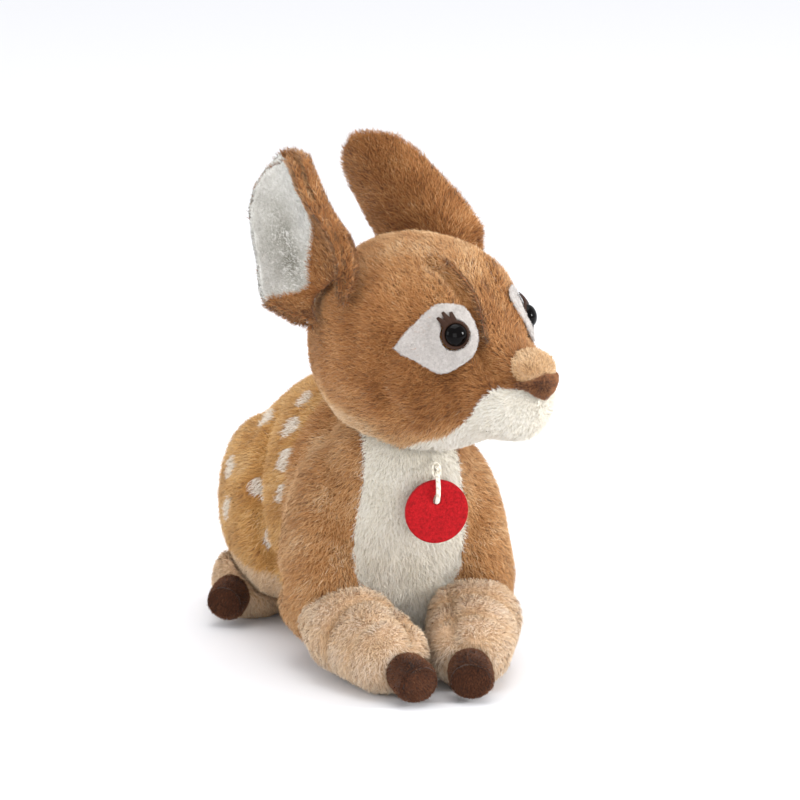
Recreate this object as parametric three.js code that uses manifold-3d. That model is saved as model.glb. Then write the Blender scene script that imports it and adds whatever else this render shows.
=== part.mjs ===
// A plush deer lying down with its head turned: millimetres, +Z up, the deer faces -Y.
// The origin is on the floor plane, below the trunk.
import * as THREE from 'three';
import { mergeVertices } from 'three/addons/utils/BufferGeometryUtils.js';
import Module from 'manifold-3d';

const wasm = await Module();
wasm.setup();

// Driving dimensions: clearances, cloth and cuts
const gap = 0.5;
const seamGap = 0.4;
const fillingGap = 0.7;
const swingGap = 0.8;
const coverThick = 3;
const flatDepth = 0.5;
const weld = 0.001;
const overrun = 30;
const far = 400;

// Trunk: a lying form from the rump forward, and an upright one from the chest to the neck
const trunkLength = 164;
const trunkWidth = 120;
const trunkHeight = 126;
const trunkRear = 140;
const trunkLift = trunkHeight / 2 - flatDepth;
const chestWidth = 108;
const chestForward = 14;
const neckRadius = 38;
const neckLift = 100;
const neckOpening = 20;
const chestPanelWidth = 56;
const chestPanelFoot = 24;
const chestPanelTop = 126;
const shoulderReach = 22;

// Upper arms and forearms
const shoulderSide = 35;
const shoulderForward = 3;
const shoulderLift = 112;
const elbowSide = 40;
const elbowForward = 12;
const elbowLift = 9;
const upperArmWidth = 46;
const upperArmDepth = 63;
const forearmSide = 45;
const forearmForward = 8;
const forearmLift = 33;
const wristSide = 17;
const wristForward = 86;
const wristLift = 16;
const forearmWidth = 42;
const forearmBall = 14;
const forearmBallReach = 27;

// Front hooves
const hoofSide = 12.8;
const hoofForward = 109;
const hoofLift = 11;
const hoofLength = 27;
const hoofWidth = 24.5;
const hoofHeight = 24;

// Thighs, hind legs and hind hooves
const thighSide = 41;
const thighRear = 135;
const thighForward = -34;
const thighLift = 58;
const thighWidth = 50;
const thighHeight = 96;
const hindRootSide = 28;
const hindRootRear = 112;
const hindRootLift = 21;
const ankleSide = 62;
const ankleRear = 79;
const ankleLift = 16;
const hindLegWidth = 39;
const hindHoofSide = 71;
const hindHoofRear = 65;
const hindHoofLift = 11;
const hindHoofLength = 24;
const hindHoofWidth = 22;

// Tail
const tailRootLift = 90;
const tailRootRear = 126;
const tailTipRear = 156;
const tailTipLift = 56;
const tailWidth = 24;
const tailThick = 15;
const tailBall = 6.5;
const tailBallReach = 13;

// Head, in its own frame: the origin at the middle of the skull, the face towards -Y
const headSide = 5;
const headForward = 25;
const headLift = 167;
const headTurn = 33;
const headLength = 146;
const headBack = 58;
const headWidth = 104;
const headHeight = 113;

// Ears, in the head's frame: a cupped leaf whose spine runs from below the root to the tip
const earRootSide = 36;
const earRootBack = 25;
const earRootLift = 34;
const earTipSide = 27;
const earTipBack = 58;
const earTipLift = 91;
const earDrop = 26;
const earWidth = 45;
const earCup = 19;
const earThick = 4;
const liningThick = 1.6;
const earBow = 9;
const earBall = 8;
const earBallDepth = 7.5;
const earFacing = { r: 84, l: 95 };
const earCurl = 78;

// Eyes, in the head's frame
const eyeRadius = 5.4;
const eyeDome = 3.4;
const eyeFlange = 0.8;
const shankRadius = 1.6;
const shankLength = 8;
const washerRadius = 6;
const washerThick = 1.5;
const washerSeat = 5;
const lidRadius = 7;
const lidThick = 1;
const lashReach = 12.4;
const lashWidth = 2.2;
const eyePatchLength = 41;
const eyePatchHeight = 30;
const eyePatchThick = 1.4;

// Muzzle, nose and the patch on the bridge of the nose
const noseWidth = 34;
const noseHeight = 15;
const noseDepth = 13;
const bridgeWidth = 26;
const bridgeLength = 13;
const bridgeThick = 2.2;

// Tag: a felt disc on a cord ring, held by a thread loop over a peg in the neck seam
const tagSide = 8;
const tagForward = 57.5;
const tagLift = 87.5;
const tagRadius = 16.2;
const tagThick = 3;
const slotWidth = 4;
const slotHeight = 6.6;
const slotDrop = 9.6;
const cordRadius = 1.2;
const cordDepth = 3.7;
const threadRadius = 0.5;
const threadWidth = 2;
const pegRadius = 1.1;
const pegLift = 110.5;
const pegLength = 16;
const pegTip = 4;

// Swing of the sewn joints, in degrees
const headSwing = 12;
const earSwing = 12;
const legSwing = 12;
const tailSwing = 15;

// Counts of rings and sides of the swelling forms
const sides = 24;
const rings = 12;
const limbSides = 16;
const limbRings = 8;
const earRings = 9;
const earSteps = 5;
const smallSides = 12;
const cordSides = 6;
const cordSteps = 16;
const neckSides = 36;
const sweepSteps = 2;

const forward = new THREE.Vector3(0, -1, 0);
const upward = new THREE.Vector3(0, 0, 1);
const place = (side, ahead, lift) => new THREE.Vector3(side, -ahead, lift);

// Turns a closed geometry into a solid that can be joined and cut
function solidOf(geometry) {
  const bare = geometry.clone();
  bare.deleteAttribute('normal');
  bare.deleteAttribute('uv');
  const merged = mergeVertices(bare, weld);
  return new wasm.Manifold(new wasm.Mesh({
    numProp: 3,
    vertProperties: new Float32Array(merged.attributes.position.array),
    triVerts: new Uint32Array(merged.index.array),
  }));
}

// Gives a solid back as a geometry
function geometryOf(solid) {
  const mesh = solid.getMesh();
  const geometry = new THREE.BufferGeometry();
  geometry.setAttribute('position', new THREE.BufferAttribute(mesh.vertProperties, 3));
  geometry.setIndex(new THREE.BufferAttribute(mesh.triVerts, 1));
  geometry.computeVertexNormals();
  return geometry;
}

// Stands a geometry that was made along +Z between two points, its +Y side towards `up`
function stand(geometry, from, to, up) {
  const along = to.clone().sub(from).normalize();
  const rise = up.clone().addScaledVector(along, -up.dot(along)).normalize();
  const side = new THREE.Vector3().crossVectors(rise, along);
  const basis = new THREE.Matrix4().makeBasis(side, rise, along).setPosition(from);
  return geometry.applyMatrix4(basis);
}

// Closes a skin over rings of points, with one point at each end
function loft(ringsOfPoints, start, end) {
  const points = [...ringsOfPoints.flat(), start, end];
  const around = ringsOfPoints[0].length;
  const first = points.length - 2;
  const last = first + 1;
  const rim = (ringsOfPoints.length - 1) * around;
  const index = [];
  for (let turn = 0; turn < around; turn += 1) {
    const next = (turn + 1) % around;
    index.push(first, next, turn);
    for (let low = 0; low < rim; low += around) {
      const top = low + around;
      index.push(low + turn, low + next, top + next, low + turn, top + next, top + turn);
    }
    index.push(last, rim + turn, rim + next);
  }
  const geometry = new THREE.BufferGeometry().setFromPoints(points);
  geometry.setIndex(index);
  return geometry;
}

// Steps from 0 to 1 that lie closer together at both ends
const eased = (step, steps) => (1 - Math.cos(Math.PI * step / steps)) / 2;

// How far a round end has opened at a share of the length
const opened = (t, round) => (t < round ? Math.sqrt(1 - (1 - t / round) ** 2) : 1);

// The section of a form at a share t of its length: its middle and its two half widths
function section(form, t, grow = 0) {
  const times = form.shares.map((row) => row[0]);
  const values = form.shares.flatMap((row) => row.slice(1));
  const table = new THREE.CubicInterpolant(times, values, 3);
  const [rise, wide, high] = table.evaluate(t);
  const round = opened(t, form.startRound) * opened(1 - t, form.endRound);
  return {
    rise: rise * form.height,
    halfWidth: (wide * form.width / 2 + grow) * round,
    halfHeight: (high * form.height / 2 + grow) * round,
  };
}

// A stuffed form: rings between two points whose rise, width and height follow a table of shares
// [along, rise, width, height], with round ends. `grow` moves its whole skin outward.
function stuffed(form, grow = 0) {
  const around = form.around ?? sides;
  const steps = form.steps ?? rings;
  const length = form.from.distanceTo(form.to);
  const ringsOfPoints = [];
  for (let step = 1; step < steps; step += 1) {
    const t = eased(step, steps);
    const { rise, halfWidth, halfHeight } = section(form, t, grow);
    const ring = [];
    for (let turn = 0; turn < around; turn += 1) {
      const angle = 2 * Math.PI * turn / around;
      const across = halfWidth * Math.cos(angle);
      const above = rise + halfHeight * Math.sin(angle);
      ring.push(new THREE.Vector3(across, above, t * (length + 2 * grow) - grow));
    }
    ringsOfPoints.push(ring);
  }
  const start = new THREE.Vector3(0, section(form, 0).rise, -grow);
  const end = new THREE.Vector3(0, section(form, 1).rise, length + grow);
  return solidOf(stand(loft(ringsOfPoints, start, end), form.from, form.to, form.up));
}

// The trunk's two forms
const trunkShares = [
  [0, -0.03, 0.9, 0.9],
  [0.3, 0.01, 0.96, 1.02],
  [0.47, 0.045, 1, 1.09],
  [0.65, 0.07, 0.92, 1.14],
  [0.8, 0.07, 0.82, 1.08],
  [1, 0.03, 0.7, 0.9],
];
const trunk = {
  from: place(0, -trunkRear, trunkLift),
  to: place(0, trunkLength - trunkRear, trunkLift),
  up: upward,
  width: trunkWidth,
  height: trunkHeight,
  startRound: 0.4,
  endRound: 0.3,
  shares: trunkShares,
};
const chestShares = [
  [0, -0.16, 0.8, 0.62],
  [0.22, -0.17, 0.96, 0.8],
  [0.4, -0.13, 1, 0.88],
  [0.58, -0.06, 0.88, 0.98],
  [0.725, -0.004, 0.704, 1],
  [0.8, 0, 0.704, 1],
  [1, 0, 0.704, 1],
];
const chest = {
  from: place(0, chestForward, -flatDepth),
  to: place(0, chestForward, neckLift + neckRadius),
  up: forward,
  width: chestWidth,
  height: 2 * neckRadius,
  startRound: 0.12,
  endRound: 0.275,
  shares: chestShares,
};
const bodyForm = (grow = 0) => stuffed(trunk, grow).add(stuffed(chest, grow));

// A form with every second ring and side, for the inside of a cover and for its filling
const coarse = (form) => ({
  ...form,
  around: (form.around ?? sides) / 2,
  steps: (form.steps ?? rings) / 2,
});
const bodyInside = (grow) => stuffed(coarse(trunk), grow).add(stuffed(coarse(chest), grow));

// Limbs of one side: side is -1 for the deer's right and 1 for its left
const upperArmShares = [
  [0, 0, 0.6, 0.7],
  [0.3, 0, 0.8, 0.9],
  [0.55, 0, 0.95, 1],
  [0.77, 0, 1, 1],
  [1, 0, 0.9, 0.9],
];
const upperArm = (side) => ({
  from: place(side * shoulderSide, shoulderForward, shoulderLift),
  to: place(side * elbowSide, elbowForward, elbowLift),
  up: forward,
  width: upperArmWidth,
  height: upperArmDepth,
  startRound: 0.35,
  endRound: 0.25,
  shares: upperArmShares,
  around: limbSides,
  steps: limbRings,
});
const forearmShares = [
  [0, 0, 1, 1],
  [0.4, 0, 0.96, 0.98],
  [0.7, 0, 0.87, 0.86],
  [1, 0, 0.78, 0.74],
];
const forearm = (side) => ({
  from: place(side * forearmSide, forearmForward, forearmLift),
  to: place(side * wristSide, wristForward, wristLift),
  up: upward,
  width: forearmWidth,
  height: forearmWidth,
  startRound: 0.24,
  endRound: 0.12,
  shares: forearmShares,
  around: limbSides,
  steps: limbRings,
});
const hoofShares = [
  [0, 0, 0.85, 0.85],
  [0.5, 0, 1, 1],
  [0.85, 0, 0.98, 0.9],
  [1, 0, 0.95, 0.75],
];
const frontHoof = (side) => {
  const tip = place(side * hoofSide, hoofForward, hoofLift);
  const wrist = place(side * wristSide, wristForward, wristLift);
  const back = wrist.sub(tip).setLength(hoofLength);
  return {
    from: tip.clone().add(back),
    to: tip,
    up: upward,
    width: hoofWidth,
    height: hoofHeight,
    startRound: 0.2,
    endRound: 0.14,
    shares: hoofShares,
    around: limbSides,
    steps: limbRings,
  };
};
const thighShares = [
  [0, 0, 0.9, 0.8],
  [0.45, 0.02, 1, 1],
  [0.75, 0, 0.95, 0.95],
  [1, -0.03, 0.8, 0.85],
];
const thigh = (side) => ({
  from: place(side * thighSide, -thighRear, thighLift),
  to: place(side * thighSide, thighForward, thighLift),
  up: upward,
  width: thighWidth,
  height: thighHeight,
  startRound: 0.5,
  endRound: 0.4,
  shares: thighShares,
  around: limbSides,
  steps: limbRings,
});
const hindLegShares = [
  [0, 0, 1, 1],
  [0.6, 0, 0.98, 0.98],
  [1, 0, 0.8, 0.82],
];
const hindLeg = (side) => ({
  from: place(side * hindRootSide, -hindRootRear, hindRootLift),
  to: place(side * ankleSide, -ankleRear, ankleLift),
  up: upward,
  width: hindLegWidth,
  height: hindLegWidth,
  startRound: 0.35,
  endRound: 0.3,
  shares: hindLegShares,
  around: limbSides,
  steps: limbRings,
});
const hindHoof = (side) => {
  const tip = place(side * hindHoofSide, -hindHoofRear, hindHoofLift);
  const ankle = place(side * ankleSide, -ankleRear, ankleLift);
  const back = ankle.sub(tip).setLength(hindHoofLength);
  return {
    from: tip.clone().add(back),
    to: tip,
    up: upward,
    width: hindHoofWidth,
    height: hindHoofWidth,
    startRound: 0.2,
    endRound: 0.14,
    shares: hoofShares,
    around: limbSides,
    steps: limbRings,
  };
};
const tailShares = [
  [0, 0, 0.7, 0.8],
  [0.5, 0, 1, 1],
  [1, 0, 0.5, 0.7],
];
const tail = {
  from: place(0, -tailRootRear, tailRootLift),
  to: place(0, -tailTipRear, tailTipLift),
  up: forward,
  width: tailWidth,
  height: tailThick,
  startRound: 0.3,
  endRound: 0.4,
  shares: tailShares,
  around: limbSides,
  steps: limbRings,
};

// The head's form
const headShares = [
  [0, 0, 0.86, 0.86],
  [0.19, 0, 0.95, 0.96],
  [0.4, 0, 1, 1],
  [0.57, 0, 0.97, 0.96],
  [0.7, 0, 0.71, 0.8],
  [0.78, -0.07, 0.49, 0.6],
  [0.85, -0.12, 0.47, 0.49],
  [0.93, -0.14, 0.43, 0.45],
  [1, -0.15, 0.4, 0.42],
];
const onHeadLength = (share) => share * headLength - headBack;
const eyePlaceShares = [0.743, 0.142];
const eyeForward = onHeadLength(eyePlaceShares[0]);
const eyeLift = eyePlaceShares[1] * headHeight;
const nosePlaceShares = [0.9795, -0.08];
const noseForward = onHeadLength(nosePlaceShares[0]);
const noseLift = nosePlaceShares[1] * headHeight;
const bridgePlaceShare = 0.952;
const bridgeForward = onHeadLength(bridgePlaceShare);
const head = {
  from: place(0, -headBack, 0),
  to: place(0, headLength - headBack, 0),
  up: upward,
  width: headWidth,
  height: headHeight,
  startRound: 0.36,
  endRound: 0.1,
  shares: headShares,
};

// The ear of one side: its spine, and the way its cup opens
function earFrame(side) {
  const root = place(side * earRootSide, -earRootBack, earRootLift);
  const tip = place(side * earTipSide, -earTipBack, earTipLift);
  const along = tip.clone().sub(root).normalize();
  const facing = THREE.MathUtils.degToRad(side < 0 ? earFacing.r : earFacing.l);
  const open = place(side * Math.sin(facing), Math.cos(facing), 0);
  open.addScaledVector(along, -open.dot(along)).normalize();
  const across = new THREE.Vector3().crossVectors(along, open);
  const low = root.clone().addScaledVector(along, -earDrop);
  const pivot = root.clone().addScaledVector(open, -earBallDepth);
  return { pivot, tip, low, along, open, across };
}

// Half width, cup depth and backward bow along the ear from its low end to its tip, as shares
const earRoundShares = [0.26, 0.26];
const earShares = [
  [0, 0.75, 0.9, 0],
  [0.25, 1, 1, 0],
  [0.5, 1, 0.9, 0.5],
  [0.75, 0.94, 0.7, 1],
  [1, 0.86, 0.34, 0.7],
];

// A cupped layer of the ear between two depths under its lined face, held back from the rim
function earLayer(side, inner, outer, rim) {
  const { tip, low, along, open, across } = earFrame(side);
  const times = earShares.map((row) => row[0]);
  const table = new THREE.CubicInterpolant(times, earShares.flatMap((row) => row.slice(1)), 3);
  const length = low.distanceTo(tip);
  const curl = THREE.MathUtils.degToRad(earCurl);
  const point = (t, turn, depth) => {
    const [wide, deep, bow] = table.evaluate(t);
    const round = opened(t, earRoundShares[0]) * opened(1 - t, earRoundShares[1]);
    const angle = curl * turn;
    const bend = (1 - Math.cos(angle)) / (1 - Math.cos(curl));
    const halfWidth = (wide * earWidth / 2 - rim) * round + depth * round;
    const cup = deep * earCup * round;
    return low.clone()
      .addScaledVector(along, rim + t * (length - 2 * rim))
      .addScaledVector(across, halfWidth * Math.sin(angle) / Math.sin(curl))
      .addScaledVector(open, cup * bend - depth)
      .addScaledVector(forward, -bow * earBow);
  };
  const ringsOfPoints = [];
  for (let step = 1; step < earRings; step += 1) {
    const t = eased(step, earRings);
    const ring = [];
    for (let turn = -earSteps; turn <= earSteps; turn += 1) {
      ring.push(point(t, turn / earSteps, inner));
    }
    for (let turn = earSteps; turn >= -earSteps; turn -= 1) {
      ring.push(point(t, turn / earSteps, outer));
    }
    ringsOfPoints.push(ring);
  }
  const middle = (outer + inner) / 2;
  const start = low.clone().addScaledVector(along, rim - middle).addScaledVector(open, -middle);
  const tipBow = earShares.at(-1).at(-1) * earBow;
  const end = tip.clone().addScaledVector(along, middle - rim).addScaledVector(open, -middle)
    .addScaledVector(forward, -tipBow);
  return solidOf(loft(ringsOfPoints, start, end));
}

// A ball round a point
function ball(centre, radius, around = smallSides) {
  const geometry = new THREE.SphereGeometry(radius, around, around / 2);
  return solidOf(geometry.translate(centre.x, centre.y, centre.z));
}

// The room of a faceted ball, clear of it at every turn
const ballRoom = (centre, radius, around = smallSides) => (
  ball(centre, (radius + gap) / Math.cos(Math.PI / around) ** 2, around)
);

// A round post between two points
function post(from, to, radius) {
  const length = from.distanceTo(to);
  const geometry = new THREE.CylinderGeometry(radius, radius, length, smallSides);
  geometry.rotateX(Math.PI / 2).translate(0, 0, length / 2);
  const steep = Math.abs(to.z - from.z) > length / 2;
  return solidOf(stand(geometry, from, to, steep ? forward : upward));
}

// An outline pushed from one point to another, its +Y side towards `up`
function prism(shape, from, to, up, curveSegments = smallSides / 2) {
  const depth = from.distanceTo(to);
  const geometry = new THREE.ExtrudeGeometry(shape, { depth, bevelEnabled: false, curveSegments });
  return solidOf(stand(geometry, from, to, up));
}

// A closed outline through points given as shares of a width and a height
function outline(shares, width, height) {
  const points = shares.map(([x, y]) => new THREE.Vector2(x * width, y * height));
  const curve = new THREE.SplineCurve([...points, points[0]]);
  return new THREE.Shape(curve.getPoints(2 * points.length).slice(0, -1));
}

// A box with its lowest corner and its highest corner
function block(low, high) {
  const size = high.clone().sub(low);
  const middle = low.clone().add(high).divideScalar(2);
  const geometry = new THREE.BoxGeometry(size.x, size.y, size.z);
  return solidOf(geometry.translate(middle.x, middle.y, middle.z));
}

// An oval ring of cord round the X axis, at the origin
function ovalRing(halfDepth, halfHeight, radius) {
  const around = cordSteps;
  const points = [];
  const index = [];
  for (let step = 0; step < around; step += 1) {
    const turn = 2 * Math.PI * step / around;
    for (let part = 0; part < cordSides; part += 1) {
      const angle = 2 * Math.PI * part / cordSides;
      const out = radius * Math.cos(angle);
      points.push(
        radius * Math.sin(angle),
        (halfDepth + out) * Math.cos(turn),
        (halfHeight + out) * Math.sin(turn),
      );
      const a = step * cordSides + part;
      const b = step * cordSides + (part + 1) % cordSides;
      const c = (step + 1) % around * cordSides + part;
      const d = (step + 1) % around * cordSides + (part + 1) % cordSides;
      index.push(a, d, b, a, c, d);
    }
  }
  const geometry = new THREE.BufferGeometry();
  geometry.setAttribute('position', new THREE.Float32BufferAttribute(points, 3));
  geometry.setIndex(index);
  return geometry;
}

// Moves a solid by a matrix
const moved = (solid, matrix) => solid.transform(matrix.elements);

// Joins solids into one
const joined = (...solids) => solids.reduce((whole, solid) => whole.add(solid));

// The biggest body of a solid, without the crumbs that a cut leaves
function biggest(solid) {
  const bodies = solid.decompose();
  return bodies.reduce((best, body) => (body.volume() > best.volume() ? body : best));
}

// The room that a solid sweeps when it turns about an axis between two angles in degrees
function swept(solid, pivot, axis, from, to) {
  let room = solid;
  for (let step = 0; step <= sweepSteps; step += 1) {
    const angle = THREE.MathUtils.degToRad(from + (to - from) * step / sweepSteps);
    const turn = new THREE.Matrix4().makeTranslation(pivot.x, pivot.y, pivot.z)
      .multiply(new THREE.Matrix4().makeRotationAxis(axis, angle))
      .multiply(new THREE.Matrix4().makeTranslation(-pivot.x, -pivot.y, -pivot.z));
    room = room.add(moved(solid, turn));
  }
  return room;
}

const deer = new THREE.Group();
const headGroup = new THREE.Group();
headGroup.position.copy(place(headSide, headForward, headLift));
headGroup.rotation.z = THREE.MathUtils.degToRad(headTurn);
deer.add(headGroup);
deer.updateMatrixWorld(true);
const toHead = headGroup.matrixWorld.clone().invert();

// Adds one named piece with its own finish
function piece(name, solid, colour, finish = {}, group = deer) {
  const cloth = { color: colour, roughness: 0.95, metalness: 0 };
  const material = new THREE.MeshStandardMaterial({ ...cloth, ...finish });
  const mesh = new THREE.Mesh(geometryOf(biggest(solid)), material);
  mesh.name = name;
  group.add(mesh);
}

const sidesOfDeer = [['r', -1], ['l', 1]];
const floor = block(new THREE.Vector3(-far, -far, -far), new THREE.Vector3(far, far, 0));

// Roots of the moving limbs: balls in sockets of what carries them
function forearmRoot(side) {
  const { from, to } = forearm(side);
  const along = to.clone().sub(from).normalize();
  const centre = from.clone().addScaledVector(along, forearmBallReach);
  const axis = new THREE.Vector3().crossVectors(along, upward).normalize();
  return { centre, axis };
}
const tailWay = tail.to.clone().sub(tail.from).normalize();
const tailRoot = tail.from.clone().addScaledVector(tailWay, tailBallReach);
const tailAxis = new THREE.Vector3(1, 0, 0);
const neck = place(0, chestForward, neckLift);
const sockets = joined(
  ballRoom(tailRoot, tailBall),
  ...sidesOfDeer.map(([, side]) => ballRoom(forearmRoot(side).centre, forearmBall)),
);

// Trunk: a cover of three panels round its filling
const neckHole = post(neck, neck.clone().addScaledVector(upward, neckRadius + overrun), neckOpening);
const bodyShell = bodyForm().subtract(bodyInside(-coverThick)).subtract(neckHole).subtract(sockets)
  .subtract(floor);
const chestPanelShares = [
  [0, 0],
  [0.3, 0.09],
  [0.49, 0.3],
  [0.5, 0.5],
  [0.42, 0.8],
  [0.38, 1],
  [-0.38, 1],
  [-0.42, 0.8],
  [-0.5, 0.5],
  [-0.49, 0.3],
  [-0.3, 0.09],
];
function chestCut(grow) {
  const shape = outline(
    chestPanelShares,
    chestPanelWidth + 2 * grow,
    chestPanelTop - chestPanelFoot + 2 * grow,
  );
  const back = place(0, chestForward, chestPanelFoot - grow);
  return prism(shape, back, back.clone().addScaledVector(forward, far), upward);
}
const rear = block(place(-far, -shoulderReach, -far), place(far, -far, far));
const rearGrown = block(place(-far, seamGap - shoulderReach, -far), place(far, -far, far));
piece('chest_panel', bodyShell.intersect(chestCut(0)), '#e6e2d6');
piece('shoulder_cover', bodyShell.subtract(chestCut(seamGap)).subtract(rearGrown), '#b07b4e');
piece('back_cover', bodyShell.intersect(rear), '#d29a55');
piece('body_filling', bodyInside(-coverThick - fillingGap).subtract(sockets).subtract(floor), '#f4f2ec');

// Legs
for (const [tag, side] of sidesOfDeer) {
  const upper = stuffed(upperArm(side)).subtract(bodyForm(gap)).subtract(sockets).subtract(floor);
  piece(`upper_arm_${tag}`, upper, '#b07b4e');
  const { centre, axis } = forearmRoot(side);
  const half = block(
    new THREE.Vector3(side > 0 ? -far : -gap / 2, -far, -far),
    new THREE.Vector3(side > 0 ? gap / 2 : far, far, far),
  );
  const carriers = joined(bodyForm(swingGap), stuffed(upperArm(side), swingGap));
  const lower = stuffed(forearm(side)).subtract(swept(carriers, centre, axis, 0, -legSwing))
    .add(ball(centre, forearmBall)).subtract(half).subtract(floor);
  piece(`forearm_${tag}`, lower, '#cda37b');
  const hoof = stuffed(frontHoof(side)).subtract(stuffed(forearm(side), gap)).subtract(half);
  piece(`front_hoof_${tag}`, hoof.subtract(floor), '#5a3625');
  piece(`thigh_${tag}`, stuffed(thigh(side)).subtract(bodyForm(gap)).subtract(floor), '#d29a55');
  const above = joined(bodyForm(gap), stuffed(thigh(side), gap));
  const hind = stuffed(hindLeg(side)).subtract(above).subtract(floor);
  piece(`hind_leg_${tag}`, hind, '#cda37b');
  const hindTip = stuffed(hindHoof(side)).subtract(stuffed(hindLeg(side), gap)).subtract(above);
  piece(`hind_hoof_${tag}`, hindTip.subtract(floor), '#5a3625');
}

// Tail
const tailRoom = swept(stuffed(trunk, swingGap), tailRoot, tailAxis, -tailSwing, tailSwing);
const tailSolid = stuffed(tail).subtract(tailRoom).add(ball(tailRoot, tailBall));
piece('tail', tailSolid, '#c98f52');

// Head: a cover and a muzzle panel round the filling, with a socket for the neck
const headRoom = moved(
  swept(joined(
    stuffed(trunk, swingGap),
    ...sidesOfDeer.map(([, side]) => stuffed(upperArm(side), swingGap)),
  ), neck, upward, -headSwing, headSwing),
  toHead,
);
const neckInHead = neck.clone().applyMatrix4(toHead);
const headHole = post(neckInHead, neckInHead.clone().setZ(0), neckOpening);
const earSockets = joined(...sidesOfDeer.map(([, side]) => ballRoom(earFrame(side).pivot, earBall)));
const socket = ball(neckInHead, neckRadius + gap, neckSides).add(headRoom);
const socketWall = ball(neckInHead, neckRadius + gap + coverThick, neckSides);
const headHollow = stuffed(coarse(head), -coverThick).subtract(socketWall);

// A place on the head's skin, and the way it faces
function onHead(side, ahead, lift) {
  const { rise, halfWidth, halfHeight } = section(head, (ahead + headBack) / headLength);
  const across = halfWidth * Math.sqrt(1 - ((lift - rise) / halfHeight) ** 2);
  return place(side * across, ahead, lift);
}
function facing(side, ahead, lift) {
  const point = onHead(side, ahead, lift);
  const before = onHead(side, ahead + coverThick, lift).sub(point);
  const above = onHead(side, ahead, lift + coverThick).sub(point);
  return new THREE.Vector3().crossVectors(before, above).multiplyScalar(-side).normalize();
}

// Each eye stands on its seat: a point on the skin, its outward way, and outlines seen from outside
const eyeSeat = (side) => ({
  point: onHead(side, eyeForward, eyeLift),
  out: facing(side, eyeForward, eyeLift),
});
function onEye(side, shape, low, high) {
  const { point, out } = eyeSeat(side);
  const from = point.clone().addScaledVector(out, low);
  return prism(shape, from, from.clone().addScaledVector(out, high - low), upward);
}
const disc = (radius) => new THREE.Shape().absarc(0, 0, radius, 0, 2 * Math.PI);
const shankHole = (side) => onEye(side, disc(shankRadius + gap), -overrun, overrun);
const washerRoom = (side, high) => (
  onEye(side, disc(washerRadius + gap), -shankLength - gap, high)
);

const headShell = stuffed(head).subtract(headHollow).subtract(headHole).subtract(socket)
  .subtract(earSockets).subtract(shankHole(-1)).subtract(shankHole(1))
  .subtract(washerRoom(-1, gap - washerSeat)).subtract(washerRoom(1, gap - washerSeat));
const muzzleShares = [
  [-0.75, -0.16],
  [-0.6, -0.075],
  [-0.48, -0.09],
  [-0.38, -0.23],
  [-0.27, -0.33],
  [-0.1, -0.41],
  [0.02, -0.5],
  [0.02, -0.7],
  [-0.5, -0.7],
  [-0.75, -0.6],
];
function muzzleCut(grow) {
  const shape = outline(muzzleShares, headLength, headHeight + grow);
  const start = new THREE.Vector3(-far, 0, grow);
  return prism(shape, start, new THREE.Vector3(far, 0, grow), upward);
}
piece('muzzle_panel', headShell.intersect(muzzleCut(0)), '#ece8de', {}, headGroup);
piece('head_cover', headShell.subtract(muzzleCut(seamGap)), '#b07b4e', {}, headGroup);
const headFilling = stuffed(coarse(head), -coverThick - fillingGap)
  .subtract(ball(neckInHead, neckRadius + gap + coverThick + fillingGap, neckSides)).subtract(headRoom)
  .subtract(earSockets).subtract(washerRoom(-1, 0)).subtract(washerRoom(1, 0));
piece('head_filling', headFilling, '#f4f2ec', {}, headGroup);

// Nose and the patch above it, both lying on the muzzle
const layer = (thick) => stuffed(head, gap + thick).subtract(stuffed(head, gap));
function bridgeCut(grow) {
  const shape = new THREE.Shape();
  shape.absellipse(0, bridgeForward, bridgeWidth / 2 + grow, bridgeLength / 2 + grow, 0, 2 * Math.PI);
  return prism(shape, new THREE.Vector3(0, 0, noseLift), new THREE.Vector3(0, 0, far), forward);
}
piece('bridge_patch', layer(bridgeThick).intersect(bridgeCut(0)), '#d2a678', {}, headGroup);
const noseShares = [
  [0, -0.35, 0.55, 0.6],
  [0.5, 0, 1, 1],
  [1, -0.35, 0.55, 0.6],
];
const nose = {
  from: place(-noseWidth / 2, noseForward, noseLift),
  to: place(noseWidth / 2, noseForward, noseLift),
  up: forward,
  width: noseHeight,
  height: noseDepth,
  startRound: 0.3,
  endRound: 0.3,
  shares: noseShares,
  around: smallSides,
  steps: limbRings,
};
const bridgeGrown = stuffed(head, bridgeThick + 2 * gap).intersect(bridgeCut(gap));
piece('nose', stuffed(nose).subtract(stuffed(head, gap)).subtract(bridgeGrown), '#5a3828', {}, headGroup);

// Eyes: a felt patch, a lid with three lashes, a dome on a shank and a washer behind the cover
const eyePatchShares = [
  [-0.71, -0.15],
  [-0.55, 0.13],
  [-0.3, 0.36],
  [-0.06, 0.48],
  [0.16, 0.46],
  [0.26, 0.2],
  [0.28, -0.12],
  [0.18, -0.39],
  [0, -0.52],
  [-0.18, -0.52],
  [-0.43, -0.39],
  [-0.62, -0.27],
];
const lashAngles = [104, 122, 140];
const domeSeat = gap + lidThick + gap;
function lashShape(side, angle, grow) {
  const turn = THREE.MathUtils.degToRad(side < 0 ? angle : 180 - angle);
  const along = new THREE.Vector2(Math.cos(turn), Math.sin(turn));
  const across = new THREE.Vector2(-along.y, along.x).multiplyScalar(lashWidth / 2 + grow);
  const foot = along.clone().multiplyScalar(eyeRadius);
  const tip = along.clone().multiplyScalar(lashReach + 2 * grow);
  return new THREE.Shape([foot.clone().sub(across), tip, foot.clone().add(across)]);
}
const lidForm = (side, low, high, grow = 0) => joined(
  onEye(side, disc(lidRadius + grow), low, high),
  ...lashAngles.map((angle) => onEye(side, lashShape(side, angle, grow), low, high)),
);
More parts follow.
